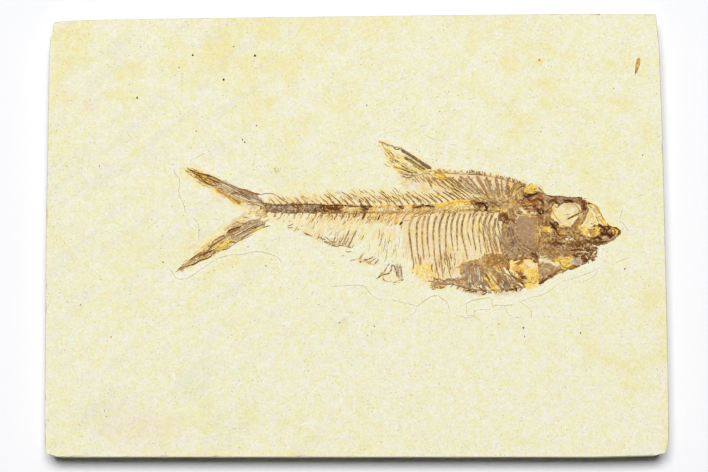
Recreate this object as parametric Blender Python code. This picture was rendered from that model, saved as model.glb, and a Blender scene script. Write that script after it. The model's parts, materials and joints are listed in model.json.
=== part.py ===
"""Fossil fish slab: a saw-cut plate of pale limestone with a herring-like fish laid in its top face.

The plate lies flat, top face up. +X runs along the long edge towards the fish's snout, +Y runs from
the fish's belly towards its back, and the origin is under the middle of the plate, on its underside.
Every bone lies in one shallow hollow (the bed) that was worked into the top face, so its upper side
stands a little above the stone. Places and sizes are in millimetres and pass through MM once.
"""

import math

import bpy

MM = 0.001

# The plate
SLAB_LENGTH = 167.4
SLAB_WIDTH = 120.8
SLAB_THICKNESS = 9.5
SLAB_EDGE = 0.35
HALF_X = SLAB_LENGTH / 2
HALF_Y = SLAB_WIDTH / 2

# The bed and the bones in it
BED_DEPTH = 0.6
BED_MARGIN_BELOW = 0.3
BONE_UNDERSIDE = SLAB_THICKNESS - BED_DEPTH + BED_MARGIN_BELOW
BONE_THICKNESS = 0.6
BONE_EDGE = 0.16
FLAKE_DEPTH = 0.25
CUTTER_HEIGHT = 4.0

# The backbone
VERTEBRAE = 34
BACKBONE_RADIUS = 0.95
BACKBONE_FLATTENING = 0.5
WAIST = 0.72
BACKBONE_LINE = [(-24.0, 7.5), (-20.5, 6.7), (-8, 6.5), (4, 6.3), (16, 6.5), (28, 6.9), (38.2, 6.7)]
SPINE_RADIUS = 0.26
HAEMAL_END = 12.5

RIB_RADIUS = 0.27
RAY_RADIUS = 0.34
RAY_STAGGER = 0.02
LOBE_THICKNESS = 0.45
LOBE_EDGE = 0.1

LIMESTONE = ("limestone", (0.83, 0.80, 0.60), 0.85)
BROWN_BONE = ("brown_bone", (0.25, 0.16, 0.10), 0.6)
GREY_BONE = ("grey_bone", (0.36, 0.28, 0.22), 0.6)
DARK_BONE = ("dark_bone", (0.12, 0.06, 0.035), 0.5)
ORANGE_BONE = ("orange_bone", (0.72, 0.40, 0.08), 0.6)

# The saw cut all but squares the plate: the top edge falls a little to the left, the corners are worn.
SLAB_OUTLINE = [
    (-HALF_X + 1.6, -HALF_Y),
    (66.0, -HALF_Y),
    (82.0, -HALF_Y + 0.5),
    (HALF_X - 0.2, -HALF_Y + 2.1),
    (HALF_X, -32.0),
    (HALF_X - 0.4, 26.0),
    (HALF_X - 0.9, 51.0),
    (HALF_X - 1.7, HALF_Y - 0.1),
    (66.0, HALF_Y),
    (0.0, HALF_Y - 0.65),
    (-80.5, HALF_Y - 2.0),
    (-HALF_X + 0.6, HALF_Y - 3.2),
    (-HALF_X + 0.05, 50.0),
    (-HALF_X, 0.0),
    (-HALF_X + 0.5, -HALF_Y + 1.4),
]

BED_OUTLINE = [
    (-49.2, 16.5), (-47.5, 19.4), (-42.0, 19.2), (-33.0, 15.2), (-24.0, 12.6), (-12.0, 12.6),
    (0.0, 13.4), (5.0, 17.0), (3.6, 25.2), (7.5, 27.6), (13.0, 26.6), (21.0, 22.6), (30.0, 19.2),
    (42.0, 17.0), (50.0, 15.2), (60.0, 12.0), (66.5, 9.2), (70.5, 4.6), (73.2, 0.6), (72.0, -3.2),
    (67.4, -5.6), (64.6, -10.0), (57.0, -13.0), (51.0, -16.4), (42.0, -18.4), (30.0, -18.6),
    (17.0, -19.4), (8.0, -16.6), (1.0, -14.2), (-6.0, -9.6), (-14.0, -6.4), (-22.0, -6.2),
    (-30.0, -5.8), (-37.0, -7.6), (-44.0, -12.0), (-49.5, -12.6), (-51.2, -9.6), (-44.4, -3.4),
    (-42.8, 0.8), (-45.6, 5.0), (-48.2, 10.5),
]

# Thin flakes lost from the stone below the belly
FLAKE_OUTLINES = {
    "flake_front": [(45.5, -19.6), (54.0, -18.4), (59.0, -15.0), (60.5, -17.5), (52.0, -22.0), (45.0, -22.5)],
    "flake_middle": [(27.5, -19.6), (38.0, -19.4), (39.0, -22.4), (33.5, -23.6), (27.0, -22.0)],
}

# Each rib from its head under the backbone down to its tip
RIBS = [
    [(15.7, 4.7), (14.6, 2.6), (14.4, 0.0), (14.8, -3.2), (15.2, -6.0), (15.6, -8.6), (15.3, -9.9)],
    [(17.5, 4.7), (16.6, 2.8), (16.4, 0.0), (16.5, -3.6), (16.9, -6.4), (17.3, -9.0)],
    [(18.7, 4.5), (18.1, 2.6), (17.9, 0.0), (18.0, -3.2), (18.4, -7.2)],
    [(19.9, 4.7), (19.4, 2.6), (19.3, 0.0), (19.4, -2.8), (19.9, -6.6)],
    [(21.9, 4.6), (21.2, 2.8), (20.9, 0.0), (21.0, -4.0), (21.5, -8.0), (22.4, -12.4)],
    [(23.8, 5.2), (22.8, 2.8), (22.5, 0.0), (22.7, -5.0), (23.1, -8.8), (23.5, -12.3)],
    [(25.3, 5.2), (24.6, 3.0), (24.3, 0.0), (24.3, -3.6), (24.7, -8.4), (25.6, -12.1)],
    [(26.8, 5.4), (26.0, 3.2), (25.7, 0.6), (25.9, -2.0), (26.3, -4.9)],
    [(28.1, 5.2), (27.4, 3.0), (27.3, 0.4), (27.3, -2.2), (27.5, -4.8)],
    [(29.5, 5.2), (28.8, 3.0), (28.6, 0.4), (29.0, -2.4), (29.7, -5.0), (30.1, -7.2)],
    [(31.0, 5.2), (30.2, 3.0), (30.1, 0.6), (30.5, -1.4), (31.1, -3.4)],
    [(32.7, 5.2), (31.8, 3.2), (31.5, 1.0), (31.8, -1.6), (32.4, -4.8)],
    [(34.3, 5.2), (33.3, 3.2), (33.0, 1.0), (33.3, -1.8), (33.9, -5.8)],
    [(35.8, 5.2), (34.8, 3.2), (34.4, 1.0), (34.7, -2.0), (35.3, -5.6)],
    [(37.0, 5.1), (36.2, 3.2), (35.8, 1.0), (36.1, -2.0), (36.8, -5.4)],
    [(37.9, 4.0), (37.4, 2.2), (37.3, 0.6), (37.7, -2.2), (38.4, -5.2)],
]

# Rods that carry the dorsal fin, from the back down to the neural spines
FIN_SUPPORTS = [
    [(19.6, 15.0), (20.7, 12.2)],
    [(21.0, 15.1), (22.9, 12.6)],
    [(22.3, 15.1), (25.2, 12.4)],
    [(23.5, 15.2), (26.9, 12.3)],
    [(24.9, 15.1), (28.6, 12.0)],
    [(26.2, 15.1), (29.6, 11.7)],
]

# Broad blades of the nape, from the back down to the backbone
NAPE_BLADES = [
    [(27.8, 14.9), (30.2, 12.6), (32.6, 10.6)],
    [(29.6, 14.9), (31.9, 12.3), (34.1, 10.1)],
    [(31.4, 14.9), (33.3, 12.2), (35.3, 9.7)],
    [(33.1, 14.8), (34.7, 12.2), (36.3, 9.6)],
    [(34.8, 14.7), (36.0, 12.0), (37.2, 9.5)],
    [(36.5, 14.4), (37.3, 12.0), (38.2, 9.4)],
    [(38.2, 14.0), (38.6, 11.8), (39.3, 9.3)],
    [(39.9, 13.4), (40.0, 11.4), (40.4, 9.2)],
]
BLADE_RADIUS = 0.48

# Plates of the head and breast: outline, bone colour and how far the plate stands above the others
HEAD_PLATES = {
    "nape_plate": (GREY_BONE, 0.0, [
        (41.9, 8.4), (42.4, 10.4), (43.6, 11.7), (44.9, 12.6), (45.9, 12.7), (45.9, 11.2), (44.8, 9.9),
        (44.8, 8.2), (44.0, 7.0), (42.3, 7.2)]),
    "crest_bone": (ORANGE_BONE, 0.1, [
        (46.4, 12.6), (47.2, 13.3), (48.3, 13.1), (48.9, 12.2), (48.7, 11.3), (47.5, 11.1), (46.4, 11.4)]),
    "braincase": (DARK_BONE, 0.3, [
        (45.3, 10.1), (46.3, 10.7), (47.6, 10.6), (49.3, 10.9), (50.4, 11.0), (52.2, 10.0), (52.8, 8.8),
        (53.5, 7.7), (52.4, 6.6), (51.5, 5.4), (51.5, 4.2), (51.7, 2.6), (50.6, 1.4), (49.3, 1.3),
        (49.2, 4.6), (46.4, 4.8), (44.5, 4.9), (43.7, 5.6), (44.4, 6.6), (45.3, 8.0)]),
    "skull_roof": (DARK_BONE, 0.2, [
        (53.1, 9.9), (56.0, 9.7), (59.3, 9.4), (61.5, 9.2), (62.6, 8.5), (63.2, 6.8), (62.7, 6.0),
        (61.6, 6.4), (60.9, 7.4), (59.4, 8.4), (57.8, 8.5), (56.2, 8.2), (55.2, 7.6), (54.2, 7.9),
        (53.2, 8.9)]),
    "snout_ridge": (ORANGE_BONE, 0.1, [
        (63.1, 8.2), (64.2, 7.9), (65.3, 6.9), (66.2, 5.2), (66.8, 3.9), (67.6, 3.2), (67.5, 2.5),
        (66.6, 2.7), (65.6, 3.8), (64.9, 5.6), (63.7, 6.9)]),
    "upper_jaw": (DARK_BONE, 0.3, [
        (65.4, 2.2), (66.2, 2.3), (67.0, 1.5), (68.2, 2.3), (69.4, 1.5), (70.6, 1.3), (71.3, 0.4),
        (70.9, -0.7), (69.2, -1.8), (67.2, -2.8), (65.3, -3.6), (63.6, -3.0), (62.9, -1.9), (63.9, -0.9),
        (64.0, 0.4), (64.5, 1.5)]),
    "eye_socket_bar": (BROWN_BONE, 0.0, [
        (57.2, 3.6), (57.3, 4.1), (61.2, 6.1), (62.3, 5.7), (62.5, 5.0), (61.2, 3.0), (59.8, 1.2),
        (58.9, 1.2), (59.2, 2.6), (60.3, 4.2), (60.5, 4.9)]),
    "cheek_plate": (BROWN_BONE, 0.1, [
        (49.2, 0.8), (50.8, 1.0), (52.2, 2.6), (52.9, 3.1), (53.6, 2.6), (54.9, 1.3), (57.0, 0.9),
        (58.8, 0.8), (60.3, 0.6), (61.2, -0.6), (62.6, -1.5), (63.1, -3.0), (61.0, -4.6), (55.0, -5.2),
        (50.3, -5.1), (49.2, -4.6), (49.2, -1.0)]),
    "lower_jaw": (DARK_BONE, 0.2, [
        (51.4, -5.6), (55.0, -5.6), (61.2, -5.0), (63.4, -3.6), (64.9, -4.0), (65.2, -5.2), (64.3, -7.1),
        (62.9, -7.3), (61.9, -8.3), (60.4, -8.9), (58.0, -9.7), (55.9, -9.4), (54.6, -8.0), (52.6, -7.4)]),
    "gill_cover": (GREY_BONE, 0.2, [
        (43.5, 2.6), (44.2, 4.3), (46.2, 4.4), (48.8, 4.2), (48.8, -0.8), (48.8, -4.6), (46.8, -4.3),
        (45.2, -3.2), (44.1, -1.6), (43.6, 0.4)]),
    "shoulder_girdle": (GREY_BONE, 0.0, [
        (41.9, 4.6), (43.0, 3.9), (43.2, -0.6), (44.4, -2.9), (46.4, -4.7), (50.2, -5.5), (51.6, -7.1),
        (49.9, -6.9), (48.6, -7.2), (47.2, -6.3), (44.8, -6.0), (43.4, -5.4), (42.6, -3.0), (41.8, -0.2)]),
    "breast_plate": (ORANGE_BONE, 0.1, [
        (41.9, -9.7), (43.6, -8.3), (45.4, -7.2), (46.9, -7.2), (48.5, -8.6), (48.8, -11.0), (48.7, -13.0),
        (47.9, -13.9), (46.5, -13.3), (45.6, -12.2), (43.6, -11.1)]),
    "throat_plate": (GREY_BONE, 0.0, [
        (49.0, -7.9), (50.5, -7.6), (52.2, -8.0), (53.8, -8.8), (55.2, -9.9), (53.4, -10.6), (52.4, -11.8),
        (50.8, -13.0), (49.4, -13.9), (49.2, -12.0)]),
    "shoulder_knob": (DARK_BONE, 0.3, [
        (38.8, 4.9), (39.7, 5.5), (41.1, 4.8), (41.5, 3.2), (40.9, 2.4), (39.7, 3.0), (38.9, 4.0)]),
    "breast_knob": (DARK_BONE, 0.2, [
        (40.3, -7.8), (41.2, -7.7), (41.6, -8.7), (41.2, -10.1), (40.5, -10.0), (40.1, -8.8)]),
    "belly_crust": (BROWN_BONE, 0.1, [
        (28.0, -10.2), (29.0, -8.6), (30.6, -7.9), (33.2, -7.3), (36.0, -6.3), (38.6, -6.0), (39.8, -7.4),
        (39.7, -9.8), (40.6, -11.2), (42.0, -11.8), (43.6, -13.4), (40.0, -13.9), (36.6, -14.3),
        (33.0, -14.0), (29.8, -13.5), (28.4, -12.6)]),
}

PECTORAL_OUTLINE = [
    (39.3, -0.4), (40.4, -0.6), (41.4, -2.6), (42.5, -5.4), (42.2, -6.4), (41.2, -5.8), (40.2, -3.4)]
STRAY_SCALE_OUTLINE = [
    (75.9, 43.2), (76.1, 45.6), (76.5, 47.6), (77.1, 48.3), (77.6, 47.6), (77.3, 45.9), (76.6, 44.2)]
TAIL_BASE_OUTLINE = [(-24.4, 6.2), (-26.0, 6.4), (-27.3, 6.0), (-27.2, 4.5), (-25.2, 4.6), (-24.0, 5.2)]

UPPER_LOBE_OUTLINE = [
    (-24.8, 8.6), (-26.6, 10.3), (-28.5, 11.2), (-32.0, 12.4), (-36.0, 14.3), (-40.0, 16.0), (-43.0, 16.9),
    (-45.6, 17.3), (-44.2, 15.6), (-41.5, 13.9), (-38.5, 12.4), (-36.0, 10.3), (-33.0, 8.5), (-31.6, 7.6),
    (-30.6, 8.8), (-28.4, 8.1), (-26.2, 7.2), (-24.9, 7.0)]
LOWER_LOBE_OUTLINE = [
    (-24.4, 3.2), (-26.8, 3.9), (-29.4, 3.2), (-32.0, 2.0), (-34.6, 0.6), (-37.0, -0.9), (-39.4, -3.0),
    (-42.4, -5.2), (-45.0, -7.4), (-48.3, -10.4), (-45.0, -9.3), (-42.0, -7.8), (-39.0, -6.4), (-36.4, -4.8),
    (-33.2, -3.4), (-30.0, -1.2), (-27.4, 0.2), (-24.6, 1.8)]

UPPER_LOBE_RAYS = [
    [(-25.6, 8.4), (-32.0, 11.4), (-43.8, 16.6)],
    [(-26.0, 8.0), (-33.0, 10.6), (-42.6, 15.2)],
    [(-27.0, 8.0), (-33.4, 9.5), (-38.0, 12.2)],
    [(-28.0, 8.5), (-31.6, 8.6), (-34.6, 9.9)],
]
LOWER_LOBE_RAYS = [
    [(-25.2, 2.6), (-33.0, -2.4), (-47.4, -10.0)],
    [(-25.6, 3.0), (-34.0, -1.6), (-45.4, -8.4)],
    [(-26.2, 3.2), (-33.6, 0.2), (-42.0, -5.6)],
    [(-27.6, 3.4), (-32.4, 1.2), (-37.4, -1.8)],
]

# Fins whose rays meet at the base: each ray from the base outwards
DORSAL_BASE = [(20.7, 17.2), (18.6, 16.5), (16.0, 15.8), (13.4, 15.2)]
DORSAL_RAYS = [
    [(20.3, 17.3), (16.0, 20.6), (12.0, 23.2), (9.8, 23.7), (6.2, 25.1)],
    [(18.9, 16.8), (15.6, 19.0), (12.9, 20.9)],
    [(18.0, 16.4), (13.4, 18.0), (9.8, 20.4), (8.0, 22.8), (7.0, 24.6)],
    [(17.0, 16.1), (13.6, 17.1), (10.2, 18.2)],
    [(16.0, 15.8), (13.0, 16.3), (11.6, 16.8)],
]
ANAL_REAR_BASE = [(-8.4, -2.4), (-6.4, -3.0), (-3.6, -3.3), (-1.2, -4.0)]
ANAL_REAR_RAYS = [
    [(-6.3, -2.9), (-5.4, -1.0)],
    [(-4.8, -3.0), (-3.8, -1.0)],
    [(-3.5, -3.2), (-1.7, 0.8)],
    [(-2.0, -3.6), (0.1, 0.8)],
]
ANAL_FRONT_BASE = [(0.8, -7.6), (2.8, -7.8), (5.0, -8.7)]
ANAL_FRONT_RAYS = [
    [(0.9, -7.6), (2.2, -5.3)],
    [(2.2, -7.7), (4.6, -6.4)],
    [(4.8, -8.6), (6.2, -7.1)],
]
PELVIC_BASE = [(5.9, -12.3), (7.1, -11.2), (8.5, -11.3), (9.3, -10.4), (9.7, -8.8), (10.4, -9.0), (11.0, -11.4)]
PELVIC_RAYS = [
    [(7.4, -11.3), (7.9, -10.2), (8.8, -8.3)],
    [(11.0, -11.3), (12.3, -12.6), (12.2, -9.2)],
    [(12.3, -12.6), (10.0, -13.3), (7.8, -12.9), (7.1, -11.2)],
]

# Keel scutes along the belly and small scutes along the back: places follow these lines
BELLY_KEEL = [(20.2, -13.9), (26.0, -13.6), (29.6, -14.8), (34.6, -15.4), (40.6, -15.1), (45.6, -14.6)]
BELLY_SCUTES = 15
SCUTE_REACH = 1.1
KEEL_RADIUS = 0.5
TOOTH_RADIUS = 0.42
BEAD_RADIUS = 0.34
BACK_KEEL = [(21.4, 16.9), (27.0, 16.3), (33.0, 16.0), (38.0, 15.2), (43.4, 13.5)]
BACK_SCUTES = 14


def clear_scene():
    for thing in list(bpy.data.objects):
        bpy.data.objects.remove(thing, do_unlink=True)


def new_collection(name):
    made = bpy.data.collections.new(name)
    bpy.context.scene.collection.children.link(made)
    return made


def material(look):
    """The Principled material of a (name, colour, roughness) look, made once."""
    name, colour, roughness = look
    made = bpy.data.materials.get(name)
    if made is None:
        made = bpy.data.materials.new(name)
        made.use_nodes = True
        shader = made.node_tree.nodes["Principled BSDF"]
        shader.inputs["Base Color"].default_value = (*colour, 1.0)
        shader.inputs["Roughness"].default_value = roughness
        shader.inputs["Metallic"].default_value = 0.0
    return made


def smooth_route(points, steps):
    """Points along a Catmull-Rom curve through the given ones, with so many steps between each pair."""
    ends = [points[0], *points, points[-1]]
    route = []
    for a, b, c, d in zip(ends, ends[1:], ends[2:], ends[3:]):
        for step in range(steps):
            t = step / steps
            route.append(tuple(
                0.5 * (2 * q + (r - p) * t + (2 * p - 5 * q + 4 * r - s) * t**2 + (3 * q - p - 3 * r + s) * t**3)
                for p, q, r, s in zip(a, b, c, d)))
    return [*route, points[-1]]


def along(route, share):
    """The point and the direction at a share, 0 to 1, of a route's length."""
    lengths = [math.dist(a, b) for a, b in zip(route, route[1:])]
    left = share * sum(lengths)
    for (a, b), length in zip(zip(route, route[1:]), lengths):
        if left <= length:
            break
        left -= length
    t = min(left / length, 1.0)
    point = tuple(p + (q - p) * t for p, q in zip(a, b))
    return point, tuple((q - p) / length for p, q in zip(a, b))


def curve_object(name, collection, dimensions, splines, closed=False, radii=None):
    """A POLY curve object through flat (x, y) points in millimetres."""
    data = bpy.data.curves.new(name, "CURVE")
    data.dimensions = dimensions
    for number, points in enumerate(splines):
        spline = data.splines.new("POLY")
        spline.points.add(len(points) - 1)
        for index, (x, y) in enumerate(points):
            spline.points[index].co = (x * MM, y * MM, 0.0, 1.0)
            spline.points[index].radius = radii[number][index] if radii else 1.0
        spline.use_cyclic_u = closed
    made = bpy.data.objects.new(name, data)
    collection.objects.link(made)
    return made


def plate(name, collection, outline, bottom, thickness, edge, look=None):
    """A flat plate with rounded rims, from its outline, lying on the height called bottom."""
    made = curve_object(name, collection, "2D", [outline], closed=True)
    made.data.fill_mode = "BOTH"
    made.data.bevel_depth = edge * MM
    made.data.bevel_resolution = 0
    made.data.offset = -edge * MM
    made.data.extrude = (thickness / 2 - edge) * MM
    made.location.z = (bottom + thickness / 2) * MM
    if look:
        made.data.materials.append(material(look))
    return made


def taper(count, at_root, at_tip, swell=0.0):
    """Radii that run from root to tip, with an optional swelling in the middle."""
    return [
        at_root + (at_tip - at_root) * i / (count - 1) + swell * math.sin(math.pi * i / (count - 1))
        for i in range(count)]


def rods(name, collection, routes, radius, height, look=None, sides=4, at_tip=0.4, at_root=1.0):
    """Tapering rods through flat routes, in one curve object whose middle lies at a height."""
    made = curve_object(
        name, collection, "3D", routes, radii=[taper(len(route), at_root, at_tip) for route in routes])
    made.data.bevel_depth = radius * MM
    made.data.bevel_resolution = (sides - 4) // 2
    made.data.use_fill_caps = True
    made.location.z = height * MM
    if look:
        made.data.materials.append(material(look))
    return made


def as_mesh(made):
    """Replaces a curve object by a closed mesh object of the same name, place and material."""
    bpy.context.view_layer.update()
    graph = bpy.context.evaluated_depsgraph_get()
    mesh = bpy.data.meshes.new_from_object(made.evaluated_get(graph))
    solid = bpy.data.objects.new("solid", mesh)
    solid.matrix_world = made.matrix_world
    for collection in made.users_collection:
        collection.objects.link(solid)
    name = made.name
    bpy.data.objects.remove(made, do_unlink=True)
    solid.name = name
    weld = solid.modifiers.new("Weld caps", "WELD")
    weld.merge_threshold = 0.000001
    return solid


def as_cutter(made):
    """A mesh helper for a Boolean: it is drawn as wires and isn't part of the object."""
    helper = as_mesh(made)
    helper.hide_render = True
    helper.display_type = "WIRE"
    return helper


def combine(target, helper, operation, crossing=False):
    """Adds a Boolean; crossing says that the helper's rods pass through each other."""
    boolean = target.modifiers.new(f"{operation} {helper.name}", "BOOLEAN")
    boolean.operation = operation
    boolean.solver = "EXACT"
    boolean.use_self = crossing
    boolean.object = helper


def resting(radius, lift=0.0):
    """The height of a rod's middle when it rests where the bones' undersides are."""
    return BONE_UNDERSIDE + radius + lift


def make_slab(parts, helpers):
    slab = as_mesh(plate("slab", parts, SLAB_OUTLINE, 0.0, SLAB_THICKNESS, SLAB_EDGE, LIMESTONE))
    hollows = {"bed": (smooth_route([*BED_OUTLINE, BED_OUTLINE[0]], 2)[:-1], BED_DEPTH)}
    hollows.update({name: (outline, FLAKE_DEPTH) for name, outline in FLAKE_OUTLINES.items()})
    for name, (outline, depth) in hollows.items():
        hollow = as_cutter(plate(name, helpers, outline, SLAB_THICKNESS - depth, CUTTER_HEIGHT, 0.0))
        combine(slab, hollow, "DIFFERENCE")


def make_backbone(parts, helpers):
    """A chain of waisted vertebrae; each carries a neural spine, and the rear ones a haemal spine."""
    line = smooth_route(BACKBONE_LINE, 8)
    places = [along(line, i / (2 * VERTEBRAE))[0] for i in range(2 * VERTEBRAE + 1)]
    radii = [WAIST if i % 2 else 1.0 for i in range(len(places))]
    column = curve_object("backbone", parts, "3D", [places], radii=[radii])
    column.data.bevel_depth = BACKBONE_RADIUS * MM
    column.data.bevel_resolution = 1
    column.data.use_fill_caps = True
    column.scale.z = BACKBONE_FLATTENING
    column.location.z = (BONE_UNDERSIDE + BACKBONE_RADIUS * BACKBONE_FLATTENING) * MM
    column.data.materials.append(material(BROWN_BONE))
    column = as_mesh(column)

    neural, haemal = [], []
    for x, y in places[3:-8:2]:
        front = min(max((x + 24.0) / 56.0, 0.0), 1.0)
        lean, rise = 2.2 + 2.2 * front, 3.0 + 1.1 * front
        neural.append([(x - 0.1, y + 0.25), (x - 0.4 * lean, y + 0.56 * rise), (x - lean, y + rise)])
        if x < HAEMAL_END:
            lean, drop = 0.9 + 0.5 * front, 2.4 + 1.6 * front
            haemal.append([(x - 0.1, y - 0.25), (x - 0.45 * lean, y - 0.56 * drop), (x - lean, y - drop)])
    for name, routes in (("neural_spines", neural), ("haemal_spines", haemal)):
        height = resting(SPINE_RADIUS)
        spines = as_cutter(rods(name, helpers, routes, SPINE_RADIUS, height, at_tip=0.5, at_root=1.2))
        combine(column, spines, "UNION")


def make_ribs(parts):
    for number, line in enumerate(RIBS, 1):
        route = smooth_route(line, 2)
        rods(f"rib_{number:02d}", parts, [route], RIB_RADIUS, resting(RIB_RADIUS), BROWN_BONE, sides=6)


def make_back_rods(parts):
    for number, line in enumerate(FIN_SUPPORTS, 1):
        route = smooth_route(line, 2)
        rods(f"fin_support_{number}", parts, [route], RAY_RADIUS, resting(RAY_RADIUS), BROWN_BONE, sides=6)
    for number, line in enumerate(NAPE_BLADES, 1):
        route = smooth_route(line, 2)
        height = resting(BLADE_RADIUS)
        rods(f"nape_blade_{number}", parts, [route], BLADE_RADIUS, height, GREY_BONE, sides=6, at_tip=0.45)


def make_plates(parts):
    for name, (look, lift, outline) in HEAD_PLATES.items():
        plate(name, parts, outline, BONE_UNDERSIDE, BONE_THICKNESS + lift, BONE_EDGE, look)
    plate("pectoral_fin", parts, PECTORAL_OUTLINE, BONE_UNDERSIDE, BONE_THICKNESS, BONE_EDGE, GREY_BONE)
    plate("tail_base", parts, TAIL_BASE_OUTLINE, BONE_UNDERSIDE, BONE_THICKNESS, BONE_EDGE, ORANGE_BONE)
    height = SLAB_THICKNESS + BED_MARGIN_BELOW
    plate("stray_scale", parts, STRAY_SCALE_OUTLINE, height, 0.3, 0.1, ORANGE_BONE)


def make_tail(parts, helpers):
    lobes = {
        "tail_fin_upper": (UPPER_LOBE_OUTLINE, UPPER_LOBE_RAYS),
        "tail_fin_lower": (LOWER_LOBE_OUTLINE, LOWER_LOBE_RAYS),
    }
    for name, (outline, rays) in lobes.items():
        lobe = as_mesh(plate(name, parts, outline, BONE_UNDERSIDE, LOBE_THICKNESS, LOBE_EDGE, BROWN_BONE))
        ridges = as_cutter(rods(f"{name}_rays", helpers, rays, RAY_RADIUS, resting(RAY_RADIUS)))
        combine(lobe, ridges, "UNION", crossing=True)


def make_rayed_fins(parts, helpers):
    """Fins whose rays meet in a base rod, each fused to it."""
    fins = {
        "dorsal_fin": (DORSAL_BASE, DORSAL_RAYS, RAY_RADIUS, GREY_BONE),
        "anal_fin_rear": (ANAL_REAR_BASE, ANAL_REAR_RAYS, SPINE_RADIUS, BROWN_BONE),
        "anal_fin_front": (ANAL_FRONT_BASE, ANAL_FRONT_RAYS, SPINE_RADIUS, BROWN_BONE),
        "pelvic_fin": (PELVIC_BASE, PELVIC_RAYS, SPINE_RADIUS, GREY_BONE),
    }
    for name, (base, rays, radius, look) in fins.items():
        fin = as_mesh(rods(name, parts, [base], radius * 1.15, resting(radius), look, at_tip=0.9))
        for number, ray in enumerate(rays, 1):
            height = resting(radius, RAY_STAGGER * number)
            helper = rods(f"{name}_ray_{number}", helpers, [ray], radius, height, at_tip=0.5)
            combine(fin, as_cutter(helper), "UNION")


def make_scutes(parts, helpers):
    """Two rows of small overlapping scutes: saw teeth under the belly, beads along the back."""
    belly = smooth_route(BELLY_KEEL, 3)
    keel = as_mesh(rods("belly_scutes", parts, [belly], KEEL_RADIUS, resting(KEEL_RADIUS), BROWN_BONE, sides=6))
    teeth = []
    for number in range(BELLY_SCUTES):
        share = (number + 0.6) / BELLY_SCUTES
        (x, y), _ = along(belly, share)
        teeth.append([(x + 0.5, y + 0.5), (x, y - 0.1), (x - 0.9, y - SCUTE_REACH)])
    points = as_cutter(rods("belly_teeth", helpers, teeth, TOOTH_RADIUS, resting(TOOTH_RADIUS), at_tip=0.35))
    combine(keel, points, "UNION", crossing=True)

    back = smooth_route(BACK_KEEL, 3)
    ridge = as_mesh(rods("back_scutes", parts, [back], BEAD_RADIUS, resting(BEAD_RADIUS), DARK_BONE, sides=6))
    beads = []
    for number in range(BACK_SCUTES):
        (x, y), (u, v) = along(back, (number + 0.5) / BACK_SCUTES)
        beads.append([(x - 0.3 * v, y + 0.1 * u), (x + 0.2 * v, y + 0.8 * u)])
    height = resting(BEAD_RADIUS, RAY_STAGGER)
    combine(ridge, as_cutter(rods("back_beads", helpers, beads, BEAD_RADIUS, height, at_tip=0.6)), "UNION")


def main():
    clear_scene()
    parts = new_collection("fossil_fish_slab")
    helpers = new_collection("cutters_and_joiners")
    make_slab(parts, helpers)
    make_backbone(parts, helpers)
    make_ribs(parts)
    make_back_rods(parts)
    make_plates(parts)
    make_tail(parts, helpers)
    make_rayed_fins(parts, helpers)
    make_scutes(parts, helpers)


main()
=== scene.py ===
"""Fossil fish slab: the look of a small fish skeleton lying in a plate of split limestone."""

import json
import math
import random

import bpy
import numpy as np
from bpy.props import FloatProperty, FloatVectorProperty, IntProperty, PointerProperty
from bpy.types import Operator, Panel, PropertyGroup
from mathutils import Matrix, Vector, kdtree
from mathutils.bvhtree import BVHTree

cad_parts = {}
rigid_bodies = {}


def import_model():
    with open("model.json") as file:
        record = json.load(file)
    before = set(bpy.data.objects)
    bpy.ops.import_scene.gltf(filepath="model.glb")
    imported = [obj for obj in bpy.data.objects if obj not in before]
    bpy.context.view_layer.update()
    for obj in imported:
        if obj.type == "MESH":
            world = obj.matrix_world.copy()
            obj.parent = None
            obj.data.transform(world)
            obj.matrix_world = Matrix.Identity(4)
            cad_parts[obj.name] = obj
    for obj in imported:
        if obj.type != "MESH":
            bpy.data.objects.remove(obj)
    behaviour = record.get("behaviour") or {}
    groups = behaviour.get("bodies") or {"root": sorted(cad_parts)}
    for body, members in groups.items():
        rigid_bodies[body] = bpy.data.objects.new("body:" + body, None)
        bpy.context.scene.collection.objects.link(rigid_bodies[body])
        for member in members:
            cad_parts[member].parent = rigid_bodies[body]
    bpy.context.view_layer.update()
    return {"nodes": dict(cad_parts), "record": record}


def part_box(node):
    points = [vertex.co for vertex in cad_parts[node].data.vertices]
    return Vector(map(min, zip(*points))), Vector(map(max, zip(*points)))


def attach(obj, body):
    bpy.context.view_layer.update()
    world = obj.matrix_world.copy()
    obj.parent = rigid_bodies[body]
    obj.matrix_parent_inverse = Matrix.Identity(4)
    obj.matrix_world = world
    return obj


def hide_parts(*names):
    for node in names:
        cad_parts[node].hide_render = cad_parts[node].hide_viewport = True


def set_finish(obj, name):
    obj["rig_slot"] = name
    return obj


bl_info = {
    "name": "Fossil Fish Slab",
    "version": (1, 0, 0),
    "blender": (4, 5, 0),
    "location": "View3D > Sidebar > Fossil",
    "description": "Builds the stone, the bones and the stage of a fossil fish slab",
    "category": "Object",
}

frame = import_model()
NODES = frame["nodes"]
MM = 0.001
SLAB_LOW, SLAB_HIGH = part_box("slab")
SLAB_TOP = SLAB_HIGH.z / MM
HALF_X = SLAB_HIGH.x / MM
HALF_Y = SLAB_HIGH.y / MM


def linear(red, green, blue):
    """A screen colour, 0 to 255, as the linear light that a shader works with."""
    shares = (channel / 255 for channel in (red, green, blue))
    return tuple(c / 12.92 if c <= 0.04045 else ((c + 0.055) / 1.055) ** 2.4 for c in shares)


LIT = 1.1  # tones are written as they look under the stage's light, which is a little over 1


def tone(name, description, red, green, blue):
    return FloatVectorProperty(
        name=name, description=description, subtype="COLOR", size=3, min=0.0, max=1.0,
        default=[channel / LIT for channel in linear(red, green, blue)])


def length(name, description, millimetres):
    return FloatProperty(
        name=name, description=description, default=millimetres * MM, min=0.0, subtype="DISTANCE",
        unit="LENGTH")


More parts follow.
